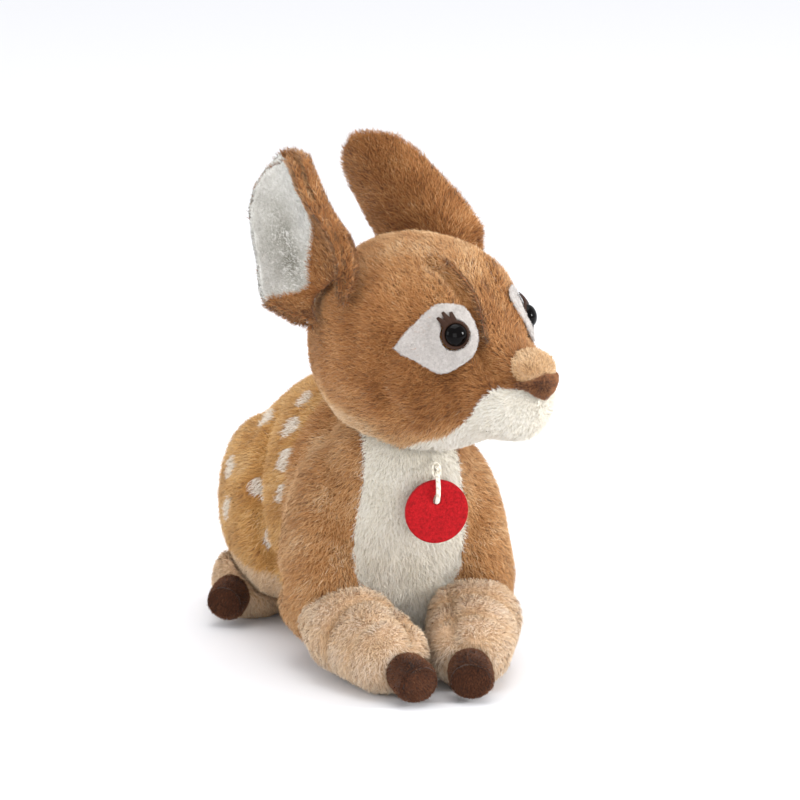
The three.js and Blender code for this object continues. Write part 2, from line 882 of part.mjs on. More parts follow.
for (const [tag, side] of sidesOfDeer) {
  const mirrored = eyePatchShares.map(([x, y]) => [-side * x, y]);
  const patch = layer(eyePatchThick)
    .intersect(onEye(side, outline(mirrored, eyePatchLength, eyePatchHeight), -overrun / 2, overrun))
    .subtract(lidForm(side, -overrun, overrun, seamGap));
  piece(`eye_patch_${tag}`, patch, '#cfcac6', {}, headGroup);
  const lid = lidForm(side, gap, gap + lidThick).subtract(shankHole(side)).subtract(stuffed(head, gap));
  piece(`eyelid_${tag}`, lid, '#4a3028', {}, headGroup);

  const { point, out } = eyeSeat(side);
  const profile = [new THREE.Vector2(0, -shankLength), new THREE.Vector2(shankRadius, -shankLength)];
  profile.push(new THREE.Vector2(shankRadius, domeSeat), new THREE.Vector2(eyeRadius, domeSeat));
  const arc = new THREE.EllipseCurve(0, domeSeat + eyeFlange, eyeRadius, eyeDome, 0, Math.PI / 2);
  profile.push(...arc.getPoints(cordSides / 2));
  profile[profile.length - 1].x = 0;
  const dome = new THREE.LatheGeometry(profile, smallSides).rotateX(Math.PI / 2);
  const eye = solidOf(stand(dome, point, point.clone().add(out), upward));
  piece(`eye_${tag}`, eye, '#0d0d0d', { roughness: 0.12 }, headGroup);

  const washer = onEye(side, disc(washerRadius), -washerSeat - washerThick, -washerSeat);
  piece(`eye_washer_${tag}`, washer.subtract(shankHole(side)), '#e8e8e4', { roughness: 0.5 }, headGroup);
}

// Ears: a plush back and a white lining, on a ball root in the head
for (const [tag, side] of sidesOfDeer) {
  const { pivot } = earFrame(side);
  const earAxis = new THREE.Vector3(1, 0, 0);
  const room = swept(stuffed(head, swingGap), pivot, earAxis, -earSwing, earSwing);
  const back = earLayer(side, 0, earThick, 0).subtract(room).add(ball(pivot, earBall));
  piece(`ear_${tag}`, back, '#a9744a', {}, headGroup);
  const lining = earLayer(side, -gap - liningThick, -gap, earThick).subtract(room);
  piece(`ear_lining_${tag}`, lining.subtract(ball(pivot, earBall + gap)), '#d9d9d3', {}, headGroup);
}

// Tag: peg in the neck seam, thread loop over it, cord ring through the slot of the felt disc
const pegEnd = place(tagSide, tagForward + pegTip, pegLift);
const pegBack = pegEnd.clone().addScaledVector(forward, -pegLength);
piece('tag_peg', post(pegBack, pegEnd, pegRadius).subtract(bodyForm(gap)), '#e8e4da');
const discTop = tagLift + tagRadius;
const ringInside = discTop + gap + 2 * threadRadius + gap;
const slotMiddle = tagLift + slotDrop - slotHeight / 2;
const ringOutside = slotMiddle - slotHeight / 2 + gap;
const ringHalf = (ringInside + 2 * cordRadius - ringOutside) / 2 - cordRadius;
const ringLift = ringOutside + cordRadius + ringHalf;
const ring = ovalRing(cordDepth, ringHalf, cordRadius);
ring.translate(tagSide, -tagForward, ringLift);
piece('tag_cord', solidOf(ring), '#e8e4da');
const threadLow = ringInside - gap - threadRadius;
const threadTop = pegLift + pegRadius + gap + threadRadius;
const thread = ovalRing(threadWidth, (threadTop - threadLow) / 2, threadRadius);
thread.rotateZ(Math.PI / 2).translate(tagSide, -tagForward, (threadTop + threadLow) / 2);
piece('tag_thread', solidOf(thread), '#e8e4da');
const felt = new THREE.Shape().absarc(0, 0, tagRadius, 0, 2 * Math.PI);
const slot = new THREE.Path();
const slotReach = (slotHeight - slotWidth) / 2;
slot.absarc(0, slotMiddle - tagLift + slotReach, slotWidth / 2, 0, Math.PI);
slot.absarc(0, slotMiddle - tagLift - slotReach, slotWidth / 2, Math.PI, 2 * Math.PI);
felt.holes.push(slot);
const discBack = place(tagSide, tagForward - tagThick / 2, tagLift);
const discFront = place(tagSide, tagForward + tagThick / 2, tagLift);
piece('tag_disc', prism(felt, discBack, discFront, upward), '#c0161f');

export default deer;
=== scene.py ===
# A plush deer that lies down with its head turned to its left and wears a felt tag at its neck.
# Metres, +Z up. The deer faces -Y, so that its own left is +X.
import math

import bmesh
import bpy
import numpy as np
from mathutils import Matrix, Vector
from mathutils.bvhtree import BVHTree


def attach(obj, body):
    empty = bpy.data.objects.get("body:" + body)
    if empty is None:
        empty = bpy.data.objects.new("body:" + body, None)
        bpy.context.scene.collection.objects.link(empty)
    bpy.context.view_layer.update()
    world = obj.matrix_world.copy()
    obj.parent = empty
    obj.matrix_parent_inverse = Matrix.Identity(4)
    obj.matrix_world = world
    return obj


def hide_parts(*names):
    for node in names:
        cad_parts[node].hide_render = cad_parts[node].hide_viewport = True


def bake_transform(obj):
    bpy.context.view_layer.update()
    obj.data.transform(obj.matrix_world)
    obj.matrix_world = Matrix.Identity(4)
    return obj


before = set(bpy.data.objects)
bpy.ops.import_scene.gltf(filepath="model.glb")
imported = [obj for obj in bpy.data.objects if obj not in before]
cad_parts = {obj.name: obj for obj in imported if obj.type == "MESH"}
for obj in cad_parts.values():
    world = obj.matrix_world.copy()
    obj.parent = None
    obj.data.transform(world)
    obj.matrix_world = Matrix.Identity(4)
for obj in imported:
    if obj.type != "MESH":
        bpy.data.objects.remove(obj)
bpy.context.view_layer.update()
mm = 0.001

# The set: a pale seamless floor under an even pale sky, with softboxes overhead, in front and to
# each side, so that the pile is lit softly and the deer stands on a faint shadow.


def linear(code):
    """An sRGB hex colour as linear numbers."""
    parts = [int(code[i : i + 2], 16) / 255 for i in (1, 3, 5)]
    return [c / 12.92 if c <= 0.04045 else ((c + 0.055) / 1.055) ** 2.4 for c in parts] + [1]


def add(tree, kind, inputs=None, stops=(), **settings):
    """Adds a node. An input takes another node's output as a link, or a value.

    `stops` are the (position, sRGB code) pairs of a node that holds a colour ramp.
    """
    node = tree.nodes.new(kind)
    for name, value in settings.items():
        setattr(node, name, value)
    for name, value in (inputs or {}).items():
        if isinstance(value, bpy.types.NodeSocket):
            tree.links.new(value, node.inputs[name])
        else:
            node.inputs[name].default_value = value
    if stops:
        ramp = node.color_ramp.elements
        ramp.remove(ramp[1])
        ramp[0].position, ramp[0].color = stops[0][0], linear(stops[0][1])
        for position, code in stops[1:]:
            ramp.new(position).color = linear(code)
    return node


def new_material(name):
    """An empty material, its node tree and its output."""
    material = bpy.data.materials.new(name)
    material.use_nodes = True
    material.node_tree.nodes.clear()
    return material, material.node_tree, add(material.node_tree, "ShaderNodeOutputMaterial")


def object_from(bm, name, *materials):
    """A bmesh as an object with smooth faces."""
    mesh = bpy.data.meshes.new(name)
    bm.to_mesh(mesh)
    bm.free()
    mesh.shade_smooth()
    piece = bpy.data.objects.new(name, mesh)
    for material in materials:
        mesh.materials.append(material)
    bpy.context.scene.collection.objects.link(piece)
    return piece


floor_paper, tree, out = new_material("pale_seamless_paper")
paper = add(tree, "ShaderNodeBsdfPrincipled", {"Base Color": linear("#F4F4F6"), "Roughness": 0.9})
tree.links.new(paper.outputs[0], out.inputs["Surface"])
bm = bmesh.new()
bmesh.ops.create_grid(bm, x_segments=1, y_segments=1, size=6)
floor = object_from(bm, "floor", floor_paper)

world = bpy.data.worlds.new("studio")
world.use_nodes = True
world.node_tree.nodes["Background"].inputs["Color"].default_value = (0.97, 0.98, 1, 1)
world.node_tree.nodes["Background"].inputs["Strength"].default_value = 0.88
bpy.context.scene.world = world
bpy.context.scene.view_settings.view_transform = "Standard"


def softbox(name, place, size, power):
    """A square area lamp aimed at the middle of the deer."""
    lamp = bpy.data.lights.new(name, "AREA")
    lamp.size = size
    lamp.energy = power
    holder = bpy.data.objects.new(name, lamp)
    holder.location = place
    aim = Vector((0, 0, 0.12)) - holder.location
    holder.rotation_euler = aim.to_track_quat("-Z", "Y").to_euler()
    bpy.context.scene.collection.objects.link(holder)


softbox("overhead_box", (0.05, 0.05, 1.5), 1.2, 12)
softbox("front_box", (-0.2, -1.6, 0.5), 0.8, 5)
softbox("left_box", (1.3, -0.8, 0.6), 0.35, 16)
softbox("right_box", (-1.5, -0.3, 0.7), 0.7, 5)

# The camera stands far off, a little above the deer and to its right, with a long lens, at the
# photograph's viewing angle.
picture_side = 800  # pixels
sensor, lens = 36, 540  # mm
distance = 6  # metres
aim_point = Vector((4.35, -1.16, 131.1)) * mm
turn, rise = math.radians(-15), math.radians(14)
away = Vector((math.sin(turn) * math.cos(rise), -math.cos(turn) * math.cos(rise), math.sin(rise)))
camera = bpy.data.objects.new("camera", bpy.data.cameras.new("camera"))
camera.data.lens = lens
camera.data.clip_end = 30
camera.location = aim_point + away * distance
camera.rotation_euler = (-away).to_track_quat("-Z", "Y").to_euler()
bpy.context.scene.collection.objects.link(camera)
bpy.context.scene.camera = camera


def seen(tree, x, y):
    """Where a skin shows at a point of the 800 x 800 picture."""
    half = picture_side / 2
    ray = Vector(((x - half) / picture_side * sensor, (half - y) / picture_side * sensor, -lens))
    return tree.ray_cast(camera.location, (camera.rotation_euler.to_matrix() @ ray).normalized())[0]


# The torso: one stuffed bag of knitted backing, sewn from a cream chest panel, brown shoulders
# and an amber back, with beige pieces over the hocks. The stuffing rounds it out, and the haunch
# is drawn against the belly.
skins = {}
weld = 0.01 * mm


def keep_biggest(bm):
    """Drops the closed bubbles that a remesh leaves inside."""
    left, groups = set(bm.verts), []
    while left:
        front = [left.pop()]
        group = list(front)
        while front:
            for edge in front.pop().link_edges:
                for v in edge.verts:
                    if v in left:
                        left.discard(v)
                        front.append(v)
                        group.append(v)
        groups.append(group)
    groups.sort(key=len)
    bmesh.ops.delete(bm, geom=[v for group in groups[:-1] for v in group], context="VERTS")


def tree_of(piece):
    """A tree of the piece's faces, for casting rays at it."""
    mesh = piece.data
    faces = [face.vertices[:] for face in mesh.polygons]
    return BVHTree.FromPolygons([v.co[:] for v in mesh.vertices], faces)


def stuffed(name, nodes, voxel, rounds, inset, materials, shape=None, pick=None):
    """A stuffed bag round copies of CAD solids, its knit lying `inset` mm under their surface.

    `voxel` is the size of its faces in mm and `rounds` how often it is smoothed. `shape` presses
    folds and seams into it, and `pick` gives the number of each face's material.
    """
    overlap = 0.45 * mm  # closes the clearances between the panels
    above_floor = 0.5 * mm
    bm = bmesh.new()
    for node in nodes:
        bm.from_mesh(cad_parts[node].data)
    bmesh.ops.remove_doubles(bm, verts=bm.verts, dist=weld)
    bm.normal_update()
    for v in bm.verts:
        v.co += v.normal * overlap
    rough = object_from(bm, name + "_rough")
    remesh = rough.modifiers.new("voxels", "REMESH")
    remesh.mode = "VOXEL"
    remesh.voxel_size = voxel * mm
    graph = bpy.context.evaluated_depsgraph_get()
    fine = bpy.data.meshes.new_from_object(rough.evaluated_get(graph))
    bpy.data.objects.remove(rough)
    bm = bmesh.new()
    bm.from_mesh(fine)
    bpy.data.meshes.remove(fine)
    keep_biggest(bm)
    axes = {"use_axis_x": True, "use_axis_y": True, "use_axis_z": True}
    for _ in range(rounds):
        bmesh.ops.smooth_vert(bm, verts=bm.verts, factor=0.5, **axes)
    bm.normal_update()
    if shape:
        shape(bm)
        bm.normal_update()
    for v in bm.verts:
        v.co -= v.normal * (inset * mm + overlap)
        v.co.z = max(v.co.z, above_floor)
    if pick:
        for face in bm.faces:
            face.material_index = pick(face.calc_center_median() / mm, face.normal)
    skin = object_from(bm, name, *materials)
    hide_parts(*nodes)
    skins[name] = tree_of(skin)
    return skin


def bump(x, middle, width):
    """1 at the middle, falling smoothly to nearly 0 at two widths from it."""
    return math.exp(-(((x - middle) / width) ** 2))


def press(bm, path, width, depth):
    """Presses a sewn line or a fold into a bag, along a path of points."""
    for v in bm.verts:
        far = 1.0
        for a, b in zip(path, path[1:]):
            ab = b - a
            t = min(max((v.co - a).dot(ab) / ab.length_squared, 0), 1)
            far = min(far, (v.co - a - ab * t).length)
        v.co -= v.normal * depth * mm * bump(far, 0, width * mm)


def knit_backing(name, dark, light):
    """Knitted polyester backing, seen between the fibres: matt, with a fine relief of loops."""
    material, tree, out = new_material(name)
    place = add(tree, "ShaderNodeTexCoord").outputs["Object"]
    # loops of about 1.2 mm, brushed into clumps of about 8 mm
    loops = add(tree, "ShaderNodeTexNoise", {"Vector": place, "Scale": 1 / (1.2 * mm), "Detail": 3})
    clumps = add(tree, "ShaderNodeTexNoise", {"Vector": place, "Scale": 1 / (8 * mm), "Detail": 2})
    depths = {0: loops.outputs["Fac"], 1: clumps.outputs["Fac"]}
    both = add(tree, "ShaderNodeMath", depths, operation="MULTIPLY")
    dyes = ((0.1, dark), (0.42, light))
    dye = add(tree, "ShaderNodeValToRGB", {"Fac": both.outputs[0]}, dyes)
    height = {"Height": loops.outputs["Fac"], "Distance": 0.4 * mm, "Strength": 0.6}
    relief = add(tree, "ShaderNodeBump", height)
    finish = {
        "Base Color": dye.outputs["Color"],
        "Normal": relief.outputs["Normal"],
        "Roughness": 0.95,
        "Specular IOR Level": 0.2,
        "Sheen Weight": 0.3,
        "Sheen Roughness": 0.5,
    }
    cloth = add(tree, "ShaderNodeBsdfPrincipled", finish)
    tree.links.new(cloth.outputs[0], out.inputs["Surface"])
    return material


# widths of the chest panel: heights in mm, and half its width there
panel_half_width = ((0, 24, 33, 54, 75, 105, 126, 150), (12, 15, 20, 27.4, 28, 23.5, 21.3, 18))


def torso_region(p):
    """0 on the chest panel, 1 on the shoulders, 2 on the back, 3 over the hocks, points in mm."""
    p = np.atleast_2d(p)
    half = np.interp(p[:, 2], *panel_half_width)
    hock = (abs(p[:, 0]) > 38) & (abs(p[:, 1] - 74) < 30) & (p[:, 2] < 34 + 0.1 * (p[:, 1] - 50))
    region = np.where(hock, 3, np.where(p[:, 1] < 22, 1, 2))
    front = p[:, 1] < -0.3 * (p[:, 2] - 100).clip(0)
    return np.where(front & (abs(p[:, 0]) < half), 0, region)


brown_knit = knit_backing("brown_knit_backing", "#5A3720", "#9A6B42")
amber_knit = knit_backing("amber_knit_backing", "#7A4C22", "#C08C4C")
cream_knit = knit_backing("cream_knit_backing", "#CCC4B4", "#EFE9DC")
beige_knit = knit_backing("beige_knit_backing", "#A98260", "#DDBB97")
torso_knits = (cream_knit, brown_knit, amber_knit, beige_knit)
torso_nodes = ("chest_panel", "shoulder_cover", "back_cover", "body_filling")
torso_nodes += ("upper_arm_r", "upper_arm_l", "thigh_r", "thigh_l")
haunch_fold = []


def folded(bm):
    """A deep fold runs down each flank, where the haunch is drawn against the belly."""
    bare = BVHTree.FromBMesh(bm)
    path = ((272, 415), (261, 440), (255, 468), (254, 500), (258, 532), (266, 560), (276, 584))
    haunch_fold.extend(point for point in (seen(bare, x, y) for x, y in path) if point)
    for mirror in (1, -1):
        fold = [Vector((mirror * p.x, p.y, p.z)) for p in haunch_fold]
        press(bm, fold, width=5.5, depth=6.5)


torso = stuffed(
    "torso_bag", torso_nodes, voxel=2.4, rounds=7, inset=2.6, materials=torso_knits, shape=folded,
    pick=lambda centre, n: int(torso_region(centre)[0]),
)
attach(torso, "torso")

# The lower legs: stuffed beige tubes, each with a short-napped dark brown cap for its hoof. The
# forearms are tucked up into the sleeves that the shoulders end in.
hoof_knit = knit_backing("hoof_knit_backing", "#24120A", "#4A2C1C")
sides = {"r": -1, "l": 1}
arm_folds = ((0.34, 3.0), (0.68, 2.4))  # shares of the way down the arm, and depths in mm
arm_seam = ((20, -44, 41), (17.6, -50, 39.5), (13, -72, 36), (11, -84, 28))  # mm, the left arm's
tucked_in = 7 * mm  # how far the sleeve draws the forearm in, beyond the elbow


def arm_line(side):
    """The elbow and the fetlock of a forearm, and the way from one to the other."""
    elbow = Vector((side * 36.1, -32.9, 27.6)) * mm
    fetlock = Vector((side * 18, -86, 16)) * mm
    return elbow, fetlock, (fetlock - elbow).normalized()


def seam_of(side):
    """The sewn line along the inner side of a forearm."""
    return [Vector((side * x, y, z)) * mm for x, y, z in arm_seam]


def unit(v):
    """Rows of an array as unit vectors."""
    return v / np.maximum(np.linalg.norm(v, axis=1), 1e-9)[:, None]


def waves(places, size, seed):
    """Smooth noise of about -1 to 1, with bumps about `size` mm across."""
    rng = np.random.default_rng(seed)
    ways = unit(rng.normal(size=(10, 3))) * 2 * np.pi / (size * mm)
    ways = ways * rng.uniform(0.35, 0.75, (10, 1))
    return np.sin(places @ ways.T + rng.uniform(0, 2 * np.pi, 10)).sum(1) / 2.6


for label, side in sides.items():
    elbow, fetlock, along_arm = arm_line(side)

    def wrinkled(bm):
        """Tucked up into the sleeve, with soft folds across and a seam along its inner side."""
        places = np.array([v.co[:] for v in bm.verts])
        uneven = 0.8 + 0.5 * waves(places, 30, 3)
        for v, share in zip(bm.verts, uneven):
            off = v.co - elbow
            behind = off.dot(along_arm)
            for middle, depth in arm_folds:
                fold = bump(behind, middle * (fetlock - elbow).length, 3 * mm)
                v.co -= v.normal * share * depth * mm * fold
            if behind < tucked_in:
                narrower = min((tucked_in - behind) / (18 * mm), 1)
                v.co -= (off - along_arm * behind) * narrower * 0.42
            if behind < 0:
                v.co += along_arm * behind * 0.5
            # the forearms lie close together, so the inner side is filled out
            inward = (off - along_arm * behind).x * -side / (14 * mm)
            v.co.x -= side * 2.4 * mm * min(max(inward, 0), 1)
        press(bm, seam_of(side), width=3.6, depth=4.0)

    forearm = stuffed(
        f"forearm_bag_{label}", [f"forearm_{label}"], voxel=1.6, rounds=5, inset=-1.4,
        materials=[beige_knit], shape=wrinkled,
    )
    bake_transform(forearm)

    hoof_end = along_arm.copy()

    def flat_ended(bm):
        """The sole of a hoof is nearly flat, with a seam round it."""
        far = max(v.co.dot(hoof_end) for v in bm.verts)
        for v in bm.verts:
            beyond = v.co.dot(hoof_end) - (far - 4 * mm)
            if beyond > 0:
                v.co -= hoof_end * beyond * 0.62
            v.co -= v.normal * 0.5 * mm * bump(beyond, -1.2 * mm, 0.9 * mm)

    cap = {"voxel": 1.1, "rounds": 3, "inset": 1.5, "materials": [hoof_knit], "shape": flat_ended}
    hoof = stuffed(f"front_hoof_cap_{label}", [f"front_hoof_{label}"], **cap)
    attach(hoof, f"front_leg_{label}")

    leg = stuffed(
        f"hind_leg_bag_{label}", [f"hind_leg_{label}"], voxel=1.6, rounds=4, inset=-0.5,
        materials=[beige_knit],
    )
    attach(leg, "torso")
    hoof_end = Vector((side * 0.62, -0.78, -0.05)).normalized()
    hoof = stuffed(f"hind_hoof_cap_{label}", [f"hind_hoof_{label}"], **cap)
    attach(hoof, "torso")

# The tail: a short flat bag of amber plush, stuffed thinly and sewn on above the rump, so that it
# can flex up and down.
tail = stuffed("tail_bag", ["tail"], voxel=1.3, rounds=4, inset=1.8, materials=[amber_knit])
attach(tail, "tail_body")

# The head: one stuffed bag of brown plush with a cream muzzle and chin let in below, darts beside
# the eyes and a fold under each cheek. It is turned about 33 degrees to the deer's left.
head_middle = np.array([5, -25, 167])
turned = np.array(Matrix.Rotation(math.radians(33), 3, "Z"))
# the muzzle's seam: mm ahead of the head's middle, and mm above it
lip = ((-6, -3, 14.6, 39.4, 55.5, 70, 87.6, 109), (-80, -56.5, -46.3, -37.3, -26, -10.2, -8.5, -18))


def on_head(p):
    """Millimetres to the head's left, ahead of its middle and above it."""
    local = (np.atleast_2d(p) - head_middle) @ turned
    return local * (1, -1, 1)


def is_muzzle(p):
    """The part of the head below the muzzle's seam, for points in mm."""
    local = on_head(p)
    return local[:, 2] < np.interp(local[:, 1], *lip)


def mirrored(point):
    """The same place on the head's other side."""
    local = (np.array(point) / mm - head_middle) @ turned
    return Vector((local * (-1, 1, 1)) @ turned.T + head_middle) * mm


# Points of the picture along each fold, its width and its depth in mm: the dart beside the eye,
# its end towards the nose, the fold under the cheek, the one below the felt, and the ridge that
# stands up beside the dart.
dart = ((431, 259), (446, 270), (457, 282), (465, 295), (470, 309), (474, 325), (476, 345))
ridge = ((444, 262), (458, 273), (469, 287), (476, 302), (481, 325), (485, 345))
folds_in_picture = (
    (dart, 2.8, 6.0),
    (((478, 347), (488, 364), (503, 380)), 4.2, 5.5),
    (((384, 366), (379, 384), (384, 402), (400, 418)), 4.5, 2.0),
    (((428, 373), (455, 379), (482, 375)), 3.6, 1.6),
    (ridge, 3.0, -3.0),
)
head_folds = []


def darted(bm):
    """Presses the folds in on both sides, and keeps them for the shading of the pile."""
    bare = BVHTree.FromBMesh(bm)
    for path, width, depth in folds_in_picture:
        points = [seen(bare, x, y) for x, y in path]
        for fold in (points, [mirrored(point) for point in points]):
            press(bm, fold, width, depth)
            # the last number is how dark the painted shade along the fold is in the pile
            head_folds.append((fold, width * 0.85, 0.1 * max(depth, 0)))


head = stuffed(
    "head_bag", ("head_cover", "muzzle_panel", "head_filling"), voxel=2.0, rounds=6, inset=2.8,
    materials=(cream_knit, brown_knit), shape=darted,
    pick=lambda centre, n: int(not is_muzzle(centre)[0]),
)
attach(head, "head")

# The ears: cupped leaves of brown plush, lined with short off-white plush that rolls over the
# rear rim. Each is sewn on at its folded root, and can fold a little.
lining_knit = knit_backing("lining_knit_backing", "#C2BFB8", "#EAE8E3")
ears = {}
fold_round = {"r": 4.5, "l": 0.5}  # mm that the root is turned forward
ear_facing = {"r": 84, "l": 95}  # degrees from straight ahead
# the lining's sewn front edge: mm up the ear, and mm behind the ear's middle line
lining_edge = ((-2, 9.4, 18.5, 27, 38.5, 50, 61, 68), (8.8, 6.2, 0.8, -6, -8.3, -3.2, -0.4, 7))


def is_lined(p, label):
    """The part of an ear inside its lining's sewn edge: brown plush shows below it and in front."""
    root, upward, opening, rearward = ears[label]
    off = np.atleast_2d(p) - root
    up = off @ upward
    return (up > -1.5) & (off @ rearward > np.interp(up, *lining_edge))


def is_rolled_rim(p, n, label):
    """The part of an ear's own bag that the lining is rolled over."""
    root, upward, opening, rearward = ears[label]
    rim = (n @ opening > -0.6) | (n @ rearward > 0.8)
    return rim & ((p - root) @ rearward > -3) & is_lined(p, label)


for label, side in sides.items():
    root, tip = np.array([side * 36, 25, 34]), np.array([side * 27, 58, 91])
    upward = (tip - root) / np.linalg.norm(tip - root)
    facing = math.radians(ear_facing[label])
    opening = np.array([side * math.sin(facing), -math.cos(facing), 0])
    opening -= upward * (opening @ upward)
    opening /= np.linalg.norm(opening)
    rearward = np.cross(upward, opening) * side
    ears[label] = [turned @ v for v in (root, upward, opening, rearward)]
    ears[label][0] += head_middle

    def filled_out(spread):
        """Wider at the root than the cut panel, where the ear is folded round and sewn.

        `spread` is how many mm further forward a bag reaches, and half as much to the rear.
        """

        def shape(bm):
            root, upward, opening, rearward = ears[label]
            for v in bm.verts:
                off = np.array(v.co) / mm - root
                up, back = off @ upward, off @ rearward
                if back > 0:
                    far = spread / 2 + 6 * bump(up, 2, 14) - 3 * bump(up, 50, 16)
                else:
                    far = -1.5 - spread - fold_round[label] * bump(up, 8, 16)
                v.co += Vector(rearward * far * min(abs(back) / 12, 1)) * mm

        return shape

    ear = stuffed(
        f"ear_bag_{label}", [f"ear_{label}"], voxel=1.4, rounds=3, inset=0.9,
        materials=[brown_knit, lining_knit], shape=filled_out(0),
        pick=lambda centre, n: int(is_rolled_rim(np.array([centre]), np.array([n]), label)[0]),
    )
    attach(ear, f"ear_body_{label}")
    lining = stuffed(
        f"ear_lining_bag_{label}", [f"ear_lining_{label}"], voxel=1.2, rounds=3, inset=-0.3,
        materials=[brown_knit, lining_knit], shape=filled_out(4.2),
        pick=lambda centre, n: int(
            is_lined(centre, label)[0] and n @ Vector(ears[label][2]) > -0.3
        ),
    )
    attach(lining, f"ear_body_{label}")

# The nose: a flat wide triangle of brown velvet, and above it a bulging oval of light tan plush.
# Both are cut out, turned in and sewn over the end of the muzzle.


def reshaped(wider, lower, pointed):
    """Makes a pad on the nose wider, lower from its under side up, and pointed below."""

    def shape(bm):
        places = np.array([v.co[:] for v in bm.verts]) / mm
        side, ahead, lift = on_head(places).T
        middle, base, top = (side.max() + side.min()) / 2, lift.min(), lift.max()
        aside = abs(side - middle)
        lift = base + (lift - base) * lower + pointed * aside * (1 - (lift - base) / (top - base))
        local = np.stack([middle - 1.5 + (side - middle) * wider, -ahead, lift], 1)
        for v, place in zip(bm.verts, local @ turned.T + head_middle):
            v.co = place * mm

    return shape


nose = stuffed(
    "nose_pad", ["nose"], voxel=0.8, rounds=2, inset=-0.3, materials=[hoof_knit],
    shape=reshaped(wider=0.98, lower=1.0, pointed=0.35),
)
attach(nose, "head")
bridge = stuffed(
    "bridge_pad", ["bridge_patch"], voxel=0.9, rounds=4, inset=0.3, materials=[beige_knit],
    shape=reshaped(wider=1.08, lower=0.78, pointed=0),
)
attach(bridge, "head")

# The eyes: an almond of off-white felt, and on it a glossy black dome set in a dark brown moulded
# bezel with three thick lashes. Each eye is held inside the head by a plastic washer.


def needle_felt(name, dark, light, fleck):
    """Pressed wool and polyester felt: matt, mottled, with short fibres lying every way."""
    material, tree, out = new_material(name)
    place = add(tree, "ShaderNodeTexCoord").outputs["Object"]
    # matted clumps of about 1.5 mm, and fibres drawn 0.3 mm wide so that they show
    matted = {"Vector": place, "Scale": 1 / (1.5 * mm), "Detail": 4}
    crossed = {"Vector": place, "Scale": 1 / (0.6 * mm), "Detail": 2, "Distortion": 1.5}
    clumps = add(tree, "ShaderNodeTexNoise", matted)
    fibres = add(tree, "ShaderNodeTexNoise", crossed)
    parts = {0: clumps.outputs["Fac"], 1: fibres.outputs["Fac"]}
    both = add(tree, "ShaderNodeMath", parts, operation="MULTIPLY")
    dyes = ((0.12, dark), (0.25, light), (0.4, fleck))
    dye = add(tree, "ShaderNodeValToRGB", {"Fac": both.outputs[0]}, dyes)
    height = {"Height": both.outputs[0], "Distance": 0.5 * mm, "Strength": 0.7}
    relief = add(tree, "ShaderNodeBump", height)
    finish = {
        "Base Color": dye.outputs["Color"],
        "Normal": relief.outputs["Normal"],
        "Roughness": 0.92,
        "Specular IOR Level": 0.2,
        "Sheen Weight": 0.08,
    }
    cloth = add(tree, "ShaderNodeBsdfPrincipled", finish)
    tree.links.new(cloth.outputs[0], out.inputs["Surface"])
    return material


def moulded(name, code, roughness, specular, grain):
    """Moulded plastic: one colour, with the faint orange peel of the mould, `grain` mm across."""
    material, tree, out = new_material(name)
    place = add(tree, "ShaderNodeTexCoord").outputs["Object"]
    mould = {"Vector": place, "Scale": 1 / (grain * mm), "Detail": 2}
    peel = add(tree, "ShaderNodeTexNoise", mould)
    height = {"Height": peel.outputs["Fac"], "Distance": 0.05 * mm, "Strength": 0.3}
    relief = add(tree, "ShaderNodeBump", height)
    span = {"Value": peel.outputs["Fac"], "To Min": roughness * 0.8, "To Max": roughness * 1.3}
    wear = add(tree, "ShaderNodeMapRange", span)
    finish = {
        "Base Color": linear(code),
        "Normal": relief.outputs["Normal"],
        "Roughness": wear.outputs["Result"],
        "Specular IOR Level": specular,
    }
    plastic = add(tree, "ShaderNodeBsdfPrincipled", finish)
    tree.links.new(plastic.outputs[0], out.inputs["Surface"])
    return material


off_white_felt = needle_felt("off_white_felt", "#B2ACA7", "#C9C3BE", "#D6D0CB")
black_gloss = moulded("black_glossy_plastic", "#040202", 0.05, 0.1, 2.5)
brown_plastic = moulded("dark_brown_plastic", "#39261D", 0.42, 0.1, 0.8)
white_plastic = moulded("white_polythene", "#E9E9E6", 0.45, 0.5, 1.0)
